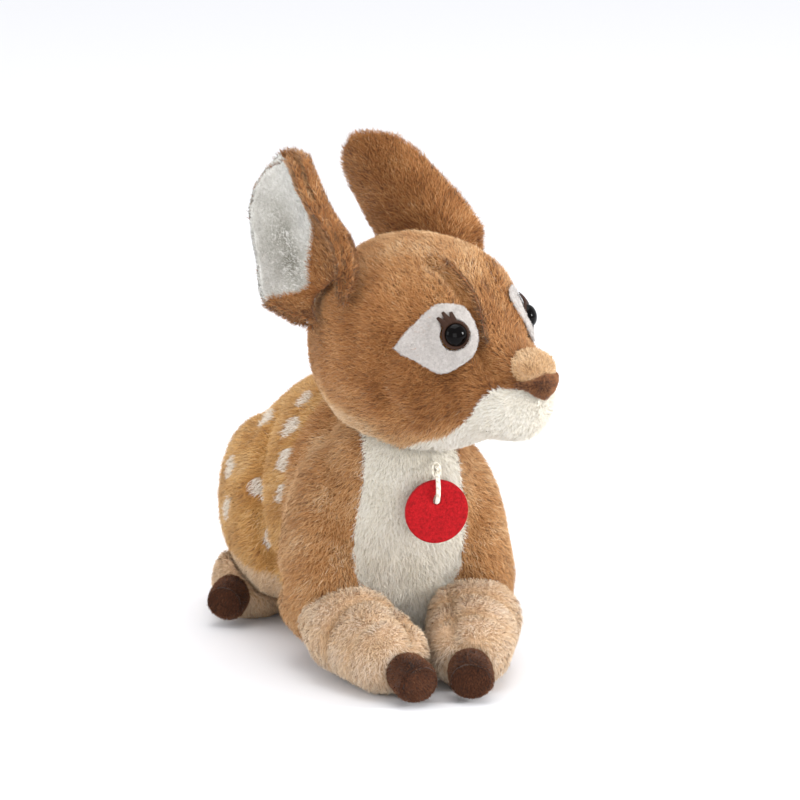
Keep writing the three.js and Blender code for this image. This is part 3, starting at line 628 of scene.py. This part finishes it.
# each eye's seat on the head in mm, and the way that it looks
eye_axes = {
    "r": (Vector((10.643, -81.523, 183.046)), Vector((0.0038, -0.9645, 0.2641))),
    "l": (Vector((54.341, -53.146, 183.046)), Vector((0.8795, -0.3958, 0.2641))),
}
dome_radius, dome_height, dome_foot = 5.7, 4.0, 2.2  # mm, the foot above the felt's seat
ring_radius, ring_thickness = 6.3, 0.85  # mm
lashes = ((96, 5.6), (114, 6.8), (132, 6.2))  # degrees round the ring, and mm long
for label, (seat, outward) in eye_axes.items():
    upright = (Vector((0, 0, 1)) - outward * outward.z).normalized()

    def sewn_down(bm):
        """The felt's edge is drawn down on the head, and its outline is an egg more than a drop."""
        for v in bm.verts:
            off = v.co - seat * mm
            aside = (off - outward * off.dot(outward)).length
            v.co -= outward * 2.1 * mm * min(max((aside / mm - 7.5) / 5, 0), 1)
            tipward = off.dot(upright.cross(outward)) * (-1 if label == "r" else 1) / mm
            rounder = 0.2 * bump(tipward, 9, 9)
            v.co += upright * off.dot(upright) * rounder

    felt = stuffed(
        f"eye_felt_{label}", [f"eye_patch_{label}"], voxel=0.8, rounds=3, inset=0.0,
        materials=[off_white_felt], shape=sewn_down,
    )
    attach(felt, "head")

    # the dome is turned about its stem, which the washer clips on behind the felt
    frame_of_eye = Matrix((upright.cross(outward), upright, outward)).transposed().to_4x4()
    frame_of_eye.translation = seat * mm
    bm = bmesh.new()
    outline = [(0, -8), (1.5, -8), (1.6, -7.9), (1.6, 1.9), (1.8, 2.0), (5.5, 2.0)]
    outline.append((dome_radius, dome_foot))
    for t in np.radians(range(6, 90, 6)):
        outline.append((dome_radius * math.cos(t), dome_foot + dome_height * math.sin(t)))
    outline.append((0, dome_foot + dome_height))
    profile = [bm.verts.new((r * mm, 0, h * mm)) for r, h in outline]
    edges = [bm.edges.new(pair) for pair in zip(profile, profile[1:])]
    whole_turn = {"axis": (0, 0, 1), "angle": math.tau, "use_merge": True}
    bmesh.ops.spin(bm, geom=profile + edges, steps=64, **whole_turn)
    bmesh.ops.remove_doubles(bm, verts=bm.verts, dist=weld)
    bmesh.ops.transform(bm, matrix=frame_of_eye, verts=bm.verts)
    bmesh.ops.recalc_face_normals(bm, faces=bm.faces)
    dome = object_from(bm, f"eye_dome_{label}", black_gloss)
    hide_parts(f"eye_{label}")
    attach(dome, "head")

    # the bezel is one moulding: a rounded ring and three flat curved lashes
    bm = bmesh.new()
    bmesh.ops.create_circle(bm, segments=12, radius=ring_thickness * mm)
    on_end = Matrix.Rotation(math.pi / 2, 4, "X")
    upend = Matrix.Translation((ring_radius * mm, 0, 2.1 * mm)) @ on_end
    bmesh.ops.transform(bm, matrix=upend, verts=bm.verts)
    ring = bm.verts[:] + bm.edges[:]
    bmesh.ops.spin(bm, geom=ring, steps=48, **whole_turn)
    for angle, reach in lashes:
        made = bmesh.ops.create_cone(
            bm, cap_ends=True, segments=12, radius1=2.2 * mm, radius2=0.75 * mm, depth=reach * mm
        )
        rings = [edge for v in made["verts"] for edge in v.link_edges]
        along_lash = [
            edge for edge in set(rings) if abs((edge.verts[0].co - edge.verts[1].co).z) > 1 * mm
        ]
        bmesh.ops.subdivide_edges(bm, edges=along_lash, cuts=4, use_grid_fill=True)
        # the cone still stands inside the ring, where no other vertex is
        lash = [v for v in bm.verts if abs(v.co.x) < 2.5 * mm and abs(v.co.y) < 2.5 * mm]
        for v in lash:
            up = v.co.z / mm + reach / 2
            v.co.y = v.co.y * 0.4 + 0.06 * up * up * mm  # flat, and curling off the felt
        turned_lash = (
            Matrix.Rotation(math.radians(angle if label == "r" else 180 - angle), 4, "Z")
            @ Matrix.Translation(((6.0 + reach / 2) * mm, 0, 2.2 * mm))
            @ Matrix.Rotation(math.pi / 2, 4, "Y")
            @ Matrix.Rotation(-math.pi / 2, 4, "Z")
        )
        bmesh.ops.transform(bm, matrix=turned_lash, verts=lash)
    bmesh.ops.transform(bm, matrix=frame_of_eye, verts=bm.verts)
    bmesh.ops.recalc_face_normals(bm, faces=bm.faces)
    bezel = object_from(bm, f"lash_bezel_{label}", brown_plastic)
    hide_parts(f"eyelid_{label}")
    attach(bezel, "head")
    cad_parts[f"eye_washer_{label}"].data.materials[0] = white_plastic

# The torso's pile: polyester fibres knitted into the backing and brushed from the neck to the
# rump. They are dyed unevenly, with painted shade at their roots, and the back has cream spots.


def pile_fibre(name, root, glow, *dyes):
    """Brushed polyester pile. The map's U runs from a fibre's root to its tip, V picks its dye.

    The colour `root` is painted shade deep in the pile: it is multiplied in at the root and fades
    to none near the tip.
    """
    material, tree, out = new_material(name)
    own_map = add(tree, "ShaderNodeUVMap", uv_map="OFBake")
    where = add(tree, "ShaderNodeSeparateXYZ", {"Vector": own_map.outputs["UV"]})
    dye = add(tree, "ShaderNodeValToRGB", {"Fac": where.outputs["Y"]}, dyes)
    # painted shade deep in the pile, darkest at the root
    shades = ((0.0, root), (0.9, "#FFFFFF"))
    shade = add(tree, "ShaderNodeValToRGB", {"Fac": where.outputs["X"]}, shades)
    parts = {0: 1, 6: dye.outputs["Color"], 7: shade.outputs["Color"]}  # factor, colours A and B
    mixed = add(tree, "ShaderNodeMix", parts, data_type="RGBA", blend_type="MULTIPLY")
    finish = {
        "Base Color": mixed.outputs[2],
        "Roughness": 0.75,
        "Specular IOR Level": 0.2,
        "Sheen Weight": 0.5,
        "Sheen Roughness": 0.45,
        "Sheen Tint": linear(glow),
    }
    fibre = add(tree, "ShaderNodeBsdfPrincipled", finish)
    tree.links.new(fibre.outputs[0], out.inputs["Surface"])
    return material


def roots_on(skin, density, rng):
    """Roots spread evenly over a skin, and the skin's normals there."""
    mesh = skin.data
    mesh.calc_loop_triangles()
    corners = np.empty(len(mesh.loop_triangles) * 3, np.int32)
    mesh.loop_triangles.foreach_get("vertices", corners)
    corners = corners.reshape(-1, 3).T
    co, no = np.empty(len(mesh.vertices) * 3), np.empty(len(mesh.vertices) * 3)
    mesh.vertices.foreach_get("co", co)
    mesh.vertex_normals.foreach_get("vector", no)
    co, no = co.reshape(-1, 3), no.reshape(-1, 3)
    a, b, c = (co[i] for i in corners)
    area = np.linalg.norm(np.cross(b - a, c - a), axis=1) / 2
    count = int(area.sum() / mm**2 * density)
    chosen = rng.choice(len(area), count, p=area / area.sum())
    r, s = np.sqrt(rng.random(count))[:, None], rng.random(count)[:, None]
    shares = list(zip((1 - r, r * (1 - s), r * s), corners[:, chosen]))
    return sum(w * co[i] for w, i in shares), unit(sum(w * no[i] for w, i in shares))


def in_the_open(points, normals, covers, reach):
    """Which roots have no other piece round them, and none close above them."""
    free = np.ones(len(points), bool)
    starts = points + normals * 0.2 * mm
    longest = 0.09  # metres, past the thickness of any bag
    for cover in covers:
        for i in np.flatnonzero(free):
            _, facing, _, far = cover.ray_cast(starts[i], normals[i], longest)
            if facing is not None and (facing.dot(Vector(normals[i])) > 0 or far < reach * mm):
                free[i] = False
    return free


# gives each clump's middle its own place in its cell
clump_key = np.array([[127.1, 269.5, 113.5], [311.7, 183.3, 271.9], [74.7, 246.1, 124.6]])


def brushed(
    skin, name, material, slot, tone, flow, length, density=3.2, covers=(), reach=2.0, keep=None,
    width=0.3, lean=50, gather=0.18, stray=0.45, seed=7,
):
    """Brushed pile on a skin: tapered bent fibres that lie along `flow` and draw into clumps.

    A fibre is `length` and `width` mm and rises at `lean` degrees, with `density` of them on a
    square millimetre. `tone` gives each one its dye, and `covers` are the bags that hide a root
    when they lie less than `reach` mm above it. Blender's own hair isn't kept when the model is
    exported, so a fibre is two small faces.
    """
    clump, roll, uneven = 3.2, 50, 0.08  # mm across, degrees either way, share of the length
    rng = np.random.default_rng(seed)
    p, n = roots_on(skin, density, rng)
    if keep:
        wanted = keep(p / mm, n)
        p, n = p[wanted], n[wanted]
    free = in_the_open(p, n, [skins[cover] for cover in covers], reach)
    p, n = p[free], n[free]
    count = len(p)

    along = unit(flow(p / mm))
    swirl = np.stack([waves(p, 16, seed + i) for i in (1, 2, 3)], 1)
    along = along - n * (along * n).sum(1)[:, None]
    along = along + 0.18 * swirl + stray * rng.normal(size=(count, 3))
    along = unit(along - n * (along * n).sum(1)[:, None])
    long = length * mm * (1 + 0.16 * rng.normal(size=count)).clip(0.5, 1.5)
    long *= 1 + uneven * waves(p, 11, seed + 5).clip(-1, 1)

    def stretch(angle):
        return (n * np.sin(angle)[:, None] + along * np.cos(angle)[:, None]) * long[:, None] / 2

    rise = np.radians(lean + 8 * rng.normal(size=count))
    bend = p + stretch(rise)
    tip = bend + stretch(rise * 0.4)
    cell = np.floor(p / (clump * mm))
    middle = (cell + (np.sin(cell @ clump_key) * 43758.5453) % 1) * clump * mm
    pull = middle - p
    pull -= n * (pull * n).sum(1)[:, None]
    tip += gather * pull * rng.random((count, 1)) ** 0.5
    for ends in (bend, tip):
        ends[:, 2] = ends[:, 2].clip(0.15 * mm)

    rolled = np.radians(rng.uniform(-roll, roll, count))[:, None]
    half = (unit(np.cross(along, n)) * np.cos(rolled) + n * np.sin(rolled)) * width * mm / 2
    half *= rng.uniform(0.7, 1.3, (count, 1))
    root = p - n * 0.3 * mm
    fibres = np.stack([root - half, root + half, bend - half * 0.75, bend + half * 0.75, tip], 1)
    dye = tone((p + along * length * mm * 0.5) / mm, rng).clip(0.01, 0.99)
    lit = unit(n + 0.25 * rng.normal(size=(count, 3)) + 0.1 * along)

    # a fibre has five vertices, and its faces are a quad below and a triangle above
    mesh = bpy.data.meshes.new(name)
    mesh.vertices.add(count * 5)
    mesh.vertices.foreach_set("co", fibres.astype(np.float32).ravel())
    each = np.arange(count)[:, None]
    corners = np.array([0, 1, 3, 2, 2, 3, 4])
    mesh.loops.add(count * 7)
    mesh.loops.foreach_set("vertex_index", (corners + 5 * each).astype(np.int32).ravel())
    mesh.polygons.add(count * 2)
    mesh.polygons.foreach_set("loop_start", (np.array([0, 4]) + 7 * each).astype(np.int32).ravel())
    mesh.polygons.foreach_set("use_smooth", np.ones(count * 2, bool))
    mesh.update(calc_edges=True)
    u = np.broadcast_to(np.array([0.02, 0.02, 0.5, 0.5, 0.98]), (count, 5))
    v = dye[:, None] + np.array([-1, 1, -0.75, 0.75, 0]) * 0.006
    uv = np.stack([u, v], 2)[:, corners].astype(np.float32)
    mesh.uv_layers.new(name="OFBake").uv.foreach_set("vector", uv.ravel())
    mesh.normals_split_custom_set_from_vertices(np.repeat(lit, 5, 0).tolist())
    mesh.materials.append(material)
    pile = bpy.data.objects.new(name, mesh)
    bpy.context.scene.collection.objects.link(pile)
    return pile


def mixed_dye(middle, patches=0.07, fine=0.13, size=12, seed=31):
    """Fibres of nearly one dye: uneven in patches of `size` mm, and from fibre to fibre."""
    return lambda p, rng: (
        middle + patches * waves(p * mm, size, seed) + fine * rng.normal(size=len(p))
    )


def near_path(p, path, width):
    """1 on a fold's path, falling to 0 a few `width` mm away from it, for points in mm."""
    far = np.full(len(p), 1e3)
    for a, b in zip(path, path[1:]):
        a, b = np.array(a) / mm, np.array(b) / mm
        t = (((p - a) @ (b - a)) / ((b - a) @ (b - a))).clip(0, 1)[:, None]
        far = np.minimum(far, np.linalg.norm(p - a - t * (b - a), axis=1))
    return np.exp(-((far / width) ** 2))


def away_from(*source):
    """Pile brushed away from a place in mm."""
    return lambda p: p - np.array(source)


# After its name, each pile's first colour is the painted shade at its fibres' roots, then its sheen
# tint, then its dyes.
brown_pile = pile_fibre(
    "brown_brushed_pile", "#BC9A82", "#FFDDB4", (0.0, "#5E3419"), (0.16, "#94602F"),
    (0.35, "#B67C49"), (0.6, "#D29B62"), (0.85, "#E8BE8A"), (1.0, "#F8E0BC"),
)
# its two palest dyes are the spots'
amber_pile = pile_fibre(
    "amber_brushed_pile", "#C8A888", "#FFE2B4", (0.0, "#A26A34"), (0.3, "#CE9856"),
    (0.55, "#E8B872"), (0.72, "#F2D09C"), (0.8, "#F9F0E0"), (1.0, "#FFFDF6"),
)
beige_pile = pile_fibre(
    "beige_brushed_pile", "#CDB6A2", "#FFEBD2", (0.0, "#C4966A"), (0.35, "#E8C396"),
    (0.65, "#F7DCB8"), (1.0, "#FFF1DF"),
)
cream_pile = pile_fibre(
    "cream_brushed_pile", "#EFE8DA", "#FFF6E4", (0.0, "#D6CCB8"), (0.35, "#F1EBDC"),
    (0.65, "#F9F5EA"), (1.0, "#FFFDF7"),
)

# Spots at the picture's own places on the right flank, mirrored on the left, each with its half
# length and half width in mm, which grow a little as the pile spreads.
spots = []
for x, y, long, wide in (
    (269, 420, 6.5, 4.6), (268, 398, 3.5, 2.6), (306, 401, 5.5, 4.0), (293, 428, 6.5, 4.4),
    (288, 461, 6.0, 4.8), (305, 458, 5.0, 4.0), (233, 467, 6.5, 5.0), (257, 488, 6.0, 3.4),
    (268, 492, 5.5, 3.0), (284, 494, 5.5, 3.4), (295, 490, 5.0, 3.0), (230, 508, 6.0, 4.2),
    (219, 500, 5.0, 3.4), (272, 535, 7.5, 3.2), (228, 545, 5.0, 3.4),
):
    place = seen(skins["torso_bag"], x, y)
    if place:
        spots.append((place / mm, long * 1.2, wide * 1.15))
spots += [(Vector((-place.x, place.y, place.z)), long, wide) for place, long, wide in spots]
# the rump's own, which the picture doesn't show
rump_spots = (0, 128, 112), (22, 131, 98), (-22, 131, 98), (12, 118, 126), (-12, 118, 126)
for x, y, z in rump_spots + ((0, 100, 136),):
    spots.append((Vector((x, y, z)), 5.5, 4.0))
spot_dye, amber_ends = 0.92, 0.75


def spotted(p, rng):
    """Amber with cream spots, long down the back, and painted shade in the haunch's fold."""
    dye = mixed_dye(0.42, 0.08, 0.11, 14, 31)(p, rng).clip(0, 0.7)
    edge = 0.18 * waves(p * mm, 4, 12)
    for place, long, wide in spots:
        off = p - np.array(place)
        lengthwise = off @ np.array([0, 0.62, -0.785])
        across = (off**2).sum(1) - lengthwise**2
        dye = np.where((lengthwise / long) ** 2 + across / wide**2 + edge < 1, spot_dye, dye)
    # painted shade along the haunch's fold, on the amber only
    for mirror in (1, -1):
        path = [Vector((mirror * point.x, point.y, point.z)) for point in haunch_fold]
        dye -= 0.4 * near_path(p, path, 3.5) * (dye < amber_ends)
    return dye + 0.02 * rng.normal(size=len(p))


from_neck = away_from(0, -32, 150)
near_torso = ("head_bag", "hind_leg_bag_r", "hind_leg_bag_l", "forearm_bag_r", "forearm_bag_l")
near_torso += ("tail_bag",)
chest_dye, hock_dye = mixed_dye(0.62, 0.07, 0.1), mixed_dye(0.5, 0.08, 0.12)
for name, region, half, material, slot, tone, length, density in (
    ("chest_pile", 0, 0, cream_pile, "cream_plush", chest_dye, 4.0, 3.5),
    ("hock_pile", 3, 0, beige_pile, "beige_plush", hock_dye, 4.0, 3.2),
    ("shoulder_pile_r", 1, -1, brown_pile, "brown_plush", mixed_dye(0.66), 4.4, 2.9),
    ("shoulder_pile_l", 1, 1, brown_pile, "brown_plush", mixed_dye(0.66), 4.4, 2.9),
    ("back_pile_r", 2, -1, amber_pile, "amber_plush", spotted, 4.8, 2.5),
    ("back_pile_l", 2, 1, amber_pile, "amber_plush", spotted, 4.8, 2.5),
):
    # the pile is left off where the deer lies on it
    pile = brushed(
        torso, name, material, slot, tone, from_neck, length, density, near_torso, reach=0.2,
        keep=lambda p, n, region=region, half=half: (torso_region(p) == region)
        & (p[:, 0] * half >= 0)
        & ((p[:, 2] > 9) | (n[:, 2] > -0.7)),
        seed=7 + half,
    )
    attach(pile, "torso")

# The pile of the lower legs, brushed down, with a short dense nap on the hooves, and the pile of
# the ears, brushed up from the root: long and brown behind, a short white nap inside.
hoof_pile = pile_fibre(
    "hoof_short_nap", "#C8B4A8", "#C09070", (0.0, "#341A0E"), (0.5, "#5A341F"), (1.0, "#7E5238")
)
lining_pile = pile_fibre(
    "lining_short_nap", "#DAD8D2", "#FFFFFF", (0.0, "#8E8B7E"), (0.5, "#D0CEC6"), (1.0, "#FBFAF6")
)
hoof_dye, ear_dye = mixed_dye(0.5, 0.08, 0.16, 8), mixed_dye(0.4, 0.08, 0.16, 12)
hoof_nap = {"length": 1.6, "density": 5, "reach": 0.3, "width": 0.32, "lean": 62}
leg_pile = {"length": 3.4, "reach": 0.1, "lean": 54, "gather": 0.15}
ear_pile = {"length": 3.8, "density": 3.0, "reach": 0.05, "lean": 38}
ear_nap = {"length": 1.7, "density": 4.5, "reach": 0.1, "width": 0.32, "lean": 28}


def falling(p):
    """Pile brushed down, and a little to the rear."""
    return np.broadcast_to(np.array([0.1, 0.1, -1.0]), p.shape)


for label, side in sides.items():
    elbow, fetlock, along_arm = arm_line(side)
    seam = seam_of(side)

    def arm_tone(p, rng):
        """Painted shade over the folds and along the seam."""
        behind = (p - np.array(elbow) / mm) @ np.array(along_arm) / (fetlock - elbow).length * mm
        # painted shade in the folds, uneven round the arm
        folds = sum(np.exp(-(((behind - middle) / 0.05) ** 2)) for middle, depth in arm_folds)
        folds *= (0.6 + 0.5 * waves(p * mm, 26, 3)).clip(0, 1)
        # the dye, less the painted shade in the folds and along the seam
        return mixed_dye(0.7, 0.08, 0.12, 10)(p, rng) - 0.4 * folds - 0.5 * near_path(p, seam, 2.4)

    pile = brushed(
        bpy.data.objects[f"forearm_bag_{label}"], f"forearm_pile_{label}", beige_pile,
        "beige_plush", arm_tone, falling, density=3.0,
        covers=("torso_bag", f"front_hoof_cap_{label}"), **leg_pile,
    )
    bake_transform(pile)
    pile = brushed(
        bpy.data.objects[f"front_hoof_cap_{label}"], f"front_hoof_nap_{label}", hoof_pile,
        "hoof_plush", hoof_dye, falling, covers=(f"forearm_bag_{label}",), **hoof_nap,
    )
    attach(pile, f"front_leg_{label}")
    pile = brushed(
        bpy.data.objects[f"hind_leg_bag_{label}"], f"hind_leg_pile_{label}", beige_pile,
        "beige_plush", mixed_dye(0.55, 0.08, 0.12, 10), falling, density=3.4,
        covers=("torso_bag", f"hind_hoof_cap_{label}"), keep=lambda p, n: p[:, 2] > 1.5, **leg_pile,
    )
    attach(pile, "torso")
    pile = brushed(
        bpy.data.objects[f"hind_hoof_cap_{label}"], f"hind_hoof_nap_{label}", hoof_pile,
        "hoof_plush", hoof_dye, falling, covers=(f"hind_leg_bag_{label}",), **hoof_nap,
    )
    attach(pile, "torso")
    root, upward, opening, rearward = ears[label]

    def cup_tone(p, rng):
        """Shaded in the hollow of the cup, light on its rim."""
        up, back = (p - root) @ upward, (p - root) @ rearward
        hollow = np.exp(-(((up - 20) / 28) ** 2) - ((back - 15) / 7) ** 2)
        return mixed_dye(0.85, 0.05, 0.08, 9)(p, rng) - 0.75 * hollow

    def on_rim(p, n):
        return is_rolled_rim(p, n, label)

    def inside(p, n):
        return is_lined(p, label) & (n @ opening > -0.3)

    sewn_at = away_from(*(root - upward * 10))
    ear_bag, lining_bag = f"ear_bag_{label}", f"ear_lining_bag_{label}"
    brown, white = (brown_pile, "brown_plush", ear_dye), (lining_pile, "ear_lining", cup_tone)
    for bag, other, name, looks, wanted, sizes in (
        (ear_bag, lining_bag, "ear_pile", brown, lambda p, n: ~on_rim(p, n), ear_pile),
        (lining_bag, ear_bag, "ear_turning_pile", brown, lambda p, n: ~inside(p, n), ear_pile),
        (ear_bag, lining_bag, "ear_rim_nap", white, on_rim, ear_nap),
        (lining_bag, ear_bag, "ear_lining_nap", white, inside, ear_nap),
    ):
        pile = brushed(
            bpy.data.objects[bag], f"{name}_{label}", *looks, sewn_at,
            covers=(other, "head_bag"), keep=wanted, **sizes,
        )
        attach(pile, f"ear_body_{label}")

# The tail's pile: long amber fibres, brushed away from the rump, so that they cover the seam that
# holds the tail.
pile = brushed(
    tail, "tail_pile", amber_pile, "amber_plush", mixed_dye(0.4, 0.1, 0.08),
    away_from(0, 120, 100), length=6, covers=("torso_bag",), reach=0.6,
)
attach(pile, "tail_body")

# The head's pile, brushed back from the nose: brown on the crown and the cheeks, cream on the
# muzzle, with light tan plush on the bridge and a dense velvet on the nose.
tan_pile = pile_fibre(
    "light_tan_pile", "#D2BCA4", "#FFE8C8", (0.0, "#CC9E6C"), (0.5, "#E4BE90"), (1.0, "#F4DCB8")
)
nose_pile = pile_fibre(
    "nose_velvet_pile", "#C8B4A8", "#C09070", (0.0, "#6A4026"), (0.5, "#94623F"), (1.0, "#B6845C")
)


def head_tone(p, rng):
    """Painted light and shade on a dye that is uneven in patches: lighter over the crown, where the
    light from above falls, and at the lower edge of the jaw, partly rim light and partly a lighter
    dye; painted shade beside the eyes, on the cheeks and in the folds; a little darker down the
    middle towards the nose.
    """
    side, ahead, lift = on_head(p).T
    # painted light: lighter on top, where the overhead light falls, and at the lower edge of the
    # jaw, partly rim light and partly a lighter dye
    crown = np.clip((lift - 18) / 30, 0, 1) * 0.26 + np.clip((-26 - lift) / 16, 0, 1) * 0.36
    ridge = -0.04 * np.exp(-((side / 13) ** 2)) * np.clip((ahead - 15) / 30, 0, 1)
    # more of it low at the back of the jaw, partly rim light and partly a lighter dye
    crown += 0.4 * np.clip((-12 - lift) / 20, 0, 1) * np.clip((12 - ahead) / 25, 0, 1)
    # painted shade at the temple, beside the eye
    crown -= 0.12 * np.exp(-(((lift - 12) / 14) ** 2) - ((ahead - 10) / 22) ** 2)
    # painted shade on the cheek
    cheek = -0.12 * np.exp(-(((lift + 18) / 20) ** 2)) * np.clip((ahead - 5) / 25, 0, 1)
    dye = mixed_dye(0.44, 0.07, 0.12, 12, 41)(p, rng) + crown + ridge + cheek
    # painted shade in each fold
    for path, width, shade in head_folds:
        dye -= shade * near_path(p, path, width)
    return dye


from_nose = away_from(*((np.array([0, -116, -6]) @ turned.T) + head_middle))
near_head = ("bridge_pad", "nose_pad", "eye_felt_r", "eye_felt_l", "ear_bag_r", "ear_bag_l")
near_head += ("torso_bag",)
crown_height = 8  # mm above the head's middle, where the two brown pieces of pile meet
brown = (brown_pile, "brown_plush", head_tone)
cream = (cream_pile, "cream_plush", mixed_dye(0.85, 0.05, 0.08))


def above_cheeks(p):
    return on_head(p)[:, 2] >= crown_height


for name, wanted, looks, length in (
    ("crown_pile", lambda p, n: ~is_muzzle(p) & above_cheeks(p), brown, 3.8),
    ("cheek_pile", lambda p, n: ~is_muzzle(p) & ~above_cheeks(p), brown, 3.8),
    ("muzzle_pile", lambda p, n: is_muzzle(p), cream, 2.9),
):
    pile = brushed(
        head, name, *looks, from_nose, length, density=3.0, covers=near_head, reach=0.8, keep=wanted
    )
    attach(pile, "head")
pile = brushed(
    bridge, "bridge_pile", tan_pile, "tip_plush", mixed_dye(0.5, 0.08, 0.14, 8), from_nose,
    length=2.4, density=6, covers=("nose_pad",), reach=0.4,
)
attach(pile, "head")
pile = brushed(
    nose, "nose_velvet", nose_pile, "nose_plush", mixed_dye(0.5, 0.1, 0.15, 6), from_nose,
    length=1.2, density=9, covers=("bridge_pad", "head_bag"), reach=0.3, width=0.26,
)
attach(pile, "head")

# The fuzz of the eye patches: short felted ends that stand up every way round the bezel, and none
# under it.
felt_dyes = ((0.0, "#B8B2AD"), (0.5, "#D2CCC7"), (1.0, "#E2DCD7"))
felt_fuzz = pile_fibre("off_white_felt_fuzz", "#E6E2DE", "#FFFFFF", *felt_dyes)
bezel_reach = 7.4  # mm
for label, (seat, outward) in eye_axes.items():
    pile = brushed(
        bpy.data.objects[f"eye_felt_{label}"], f"eye_felt_fuzz_{label}", felt_fuzz, "eye_felt",
        mixed_dye(0.5, 0.08, 0.2, 5), from_nose, length=1.1, density=7, covers=("head_bag",),
        reach=0.3,
        keep=lambda p, n, seat=seat, outward=outward: (n @ np.array(outward) > -0.2)
        & (np.linalg.norm(p - np.array(seat), axis=1) > bezel_reach),
        width=0.22, lean=30, stray=0.8,
    )
    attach(pile, "head")

# The tag: a disc of red pressed felt, hung by its slot on a twisted cotton cord. A thin thread
# holds the cord to a peg in the neck. The disc is bare.
red_felt = needle_felt("red_pressed_felt", "#7E080E", "#A60B14", "#B8131C")


def twisted_cord(name, dark, light, twist):
    """Twisted cotton: slanting strands `twist` mm apart, with painted shade between them."""
    material, tree, out = new_material(name)
    place = add(tree, "ShaderNodeTexCoord").outputs["Object"]
    bands = {"Vector": place, "Scale": 1 / (twist * mm) / 6.28, "Distortion": 1.2, "Detail": 1}
    slanting = {"wave_type": "BANDS", "bands_direction": "DIAGONAL"}
    strands = add(tree, "ShaderNodeTexWave", bands, **slanting)
    # painted shade in the low grooves between the strands
    dyes = ((0.1, dark), (0.5, light))
    dye = add(tree, "ShaderNodeValToRGB", {"Fac": strands.outputs["Fac"]}, dyes)
    height = {"Height": strands.outputs["Fac"], "Distance": 0.3 * mm, "Strength": 0.6}
    relief = add(tree, "ShaderNodeBump", height)
    finish = {
        "Base Color": dye.outputs["Color"],
        "Normal": relief.outputs["Normal"],
        "Roughness": 0.8,
        "Sheen Weight": 0.2,
    }
    cotton = add(tree, "ShaderNodeBsdfPrincipled", finish)
    tree.links.new(cotton.outputs[0], out.inputs["Surface"])
    return material


cream_cord = twisted_cord("cream_twisted_cotton", "#D2C8B4", "#EFE9DA", twist=0.9)
tag_middle = Vector((8, -57.5, 87.5)) * mm
disc_radius, felt_thickness, worn_edge = 16.2 * mm, 2.8 * mm, 0.8 * mm
slot_radius, slot_height = 1.9 * mm, 5.6 * mm
bm = bmesh.new()
bmesh.ops.create_circle(bm, segments=72, radius=disc_radius)
slot_loop = bmesh.ops.create_circle(bm, segments=36, radius=slot_radius)["verts"]
for v in slot_loop:  # the slot is a drop, narrow above
    if v.co.y > 0:
        v.co = Vector((v.co.x * (1 - 0.12 * v.co.y / mm), v.co.y * 1.8, 0))
    v.co.y += slot_height
bmesh.ops.bridge_loops(bm, edges=bm.edges)
bmesh.ops.solidify(bm, geom=bm.faces, thickness=felt_thickness)
rims = [e for e in bm.edges if len(e.link_faces) == 2 and e.calc_face_angle() > 1.2]
rounding = {"segments": 3, "profile": 0.5, "affect": "EDGES", "material": -1}
bmesh.ops.bevel(bm, geom=rims, offset=worn_edge, **rounding)
upend = Matrix.Translation(tag_middle) @ Matrix.Rotation(math.pi / 2, 4, "X")
bmesh.ops.transform(bm, matrix=upend, verts=bm.verts)
bm.normal_update()
middle_y = (max(v.co.y for v in bm.verts) + min(v.co.y for v in bm.verts)) / 2
bmesh.ops.translate(bm, verts=bm.verts, vec=(0, tag_middle.y - middle_y, 0))
bmesh.ops.recalc_face_normals(bm, faces=bm.faces)
disc = object_from(bm, "felt_tag", red_felt)
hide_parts("tag_disc")
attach(disc, "tag")
for node in ("tag_cord", "tag_thread", "tag_peg"):
    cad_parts[node].data.materials[0] = cream_cord
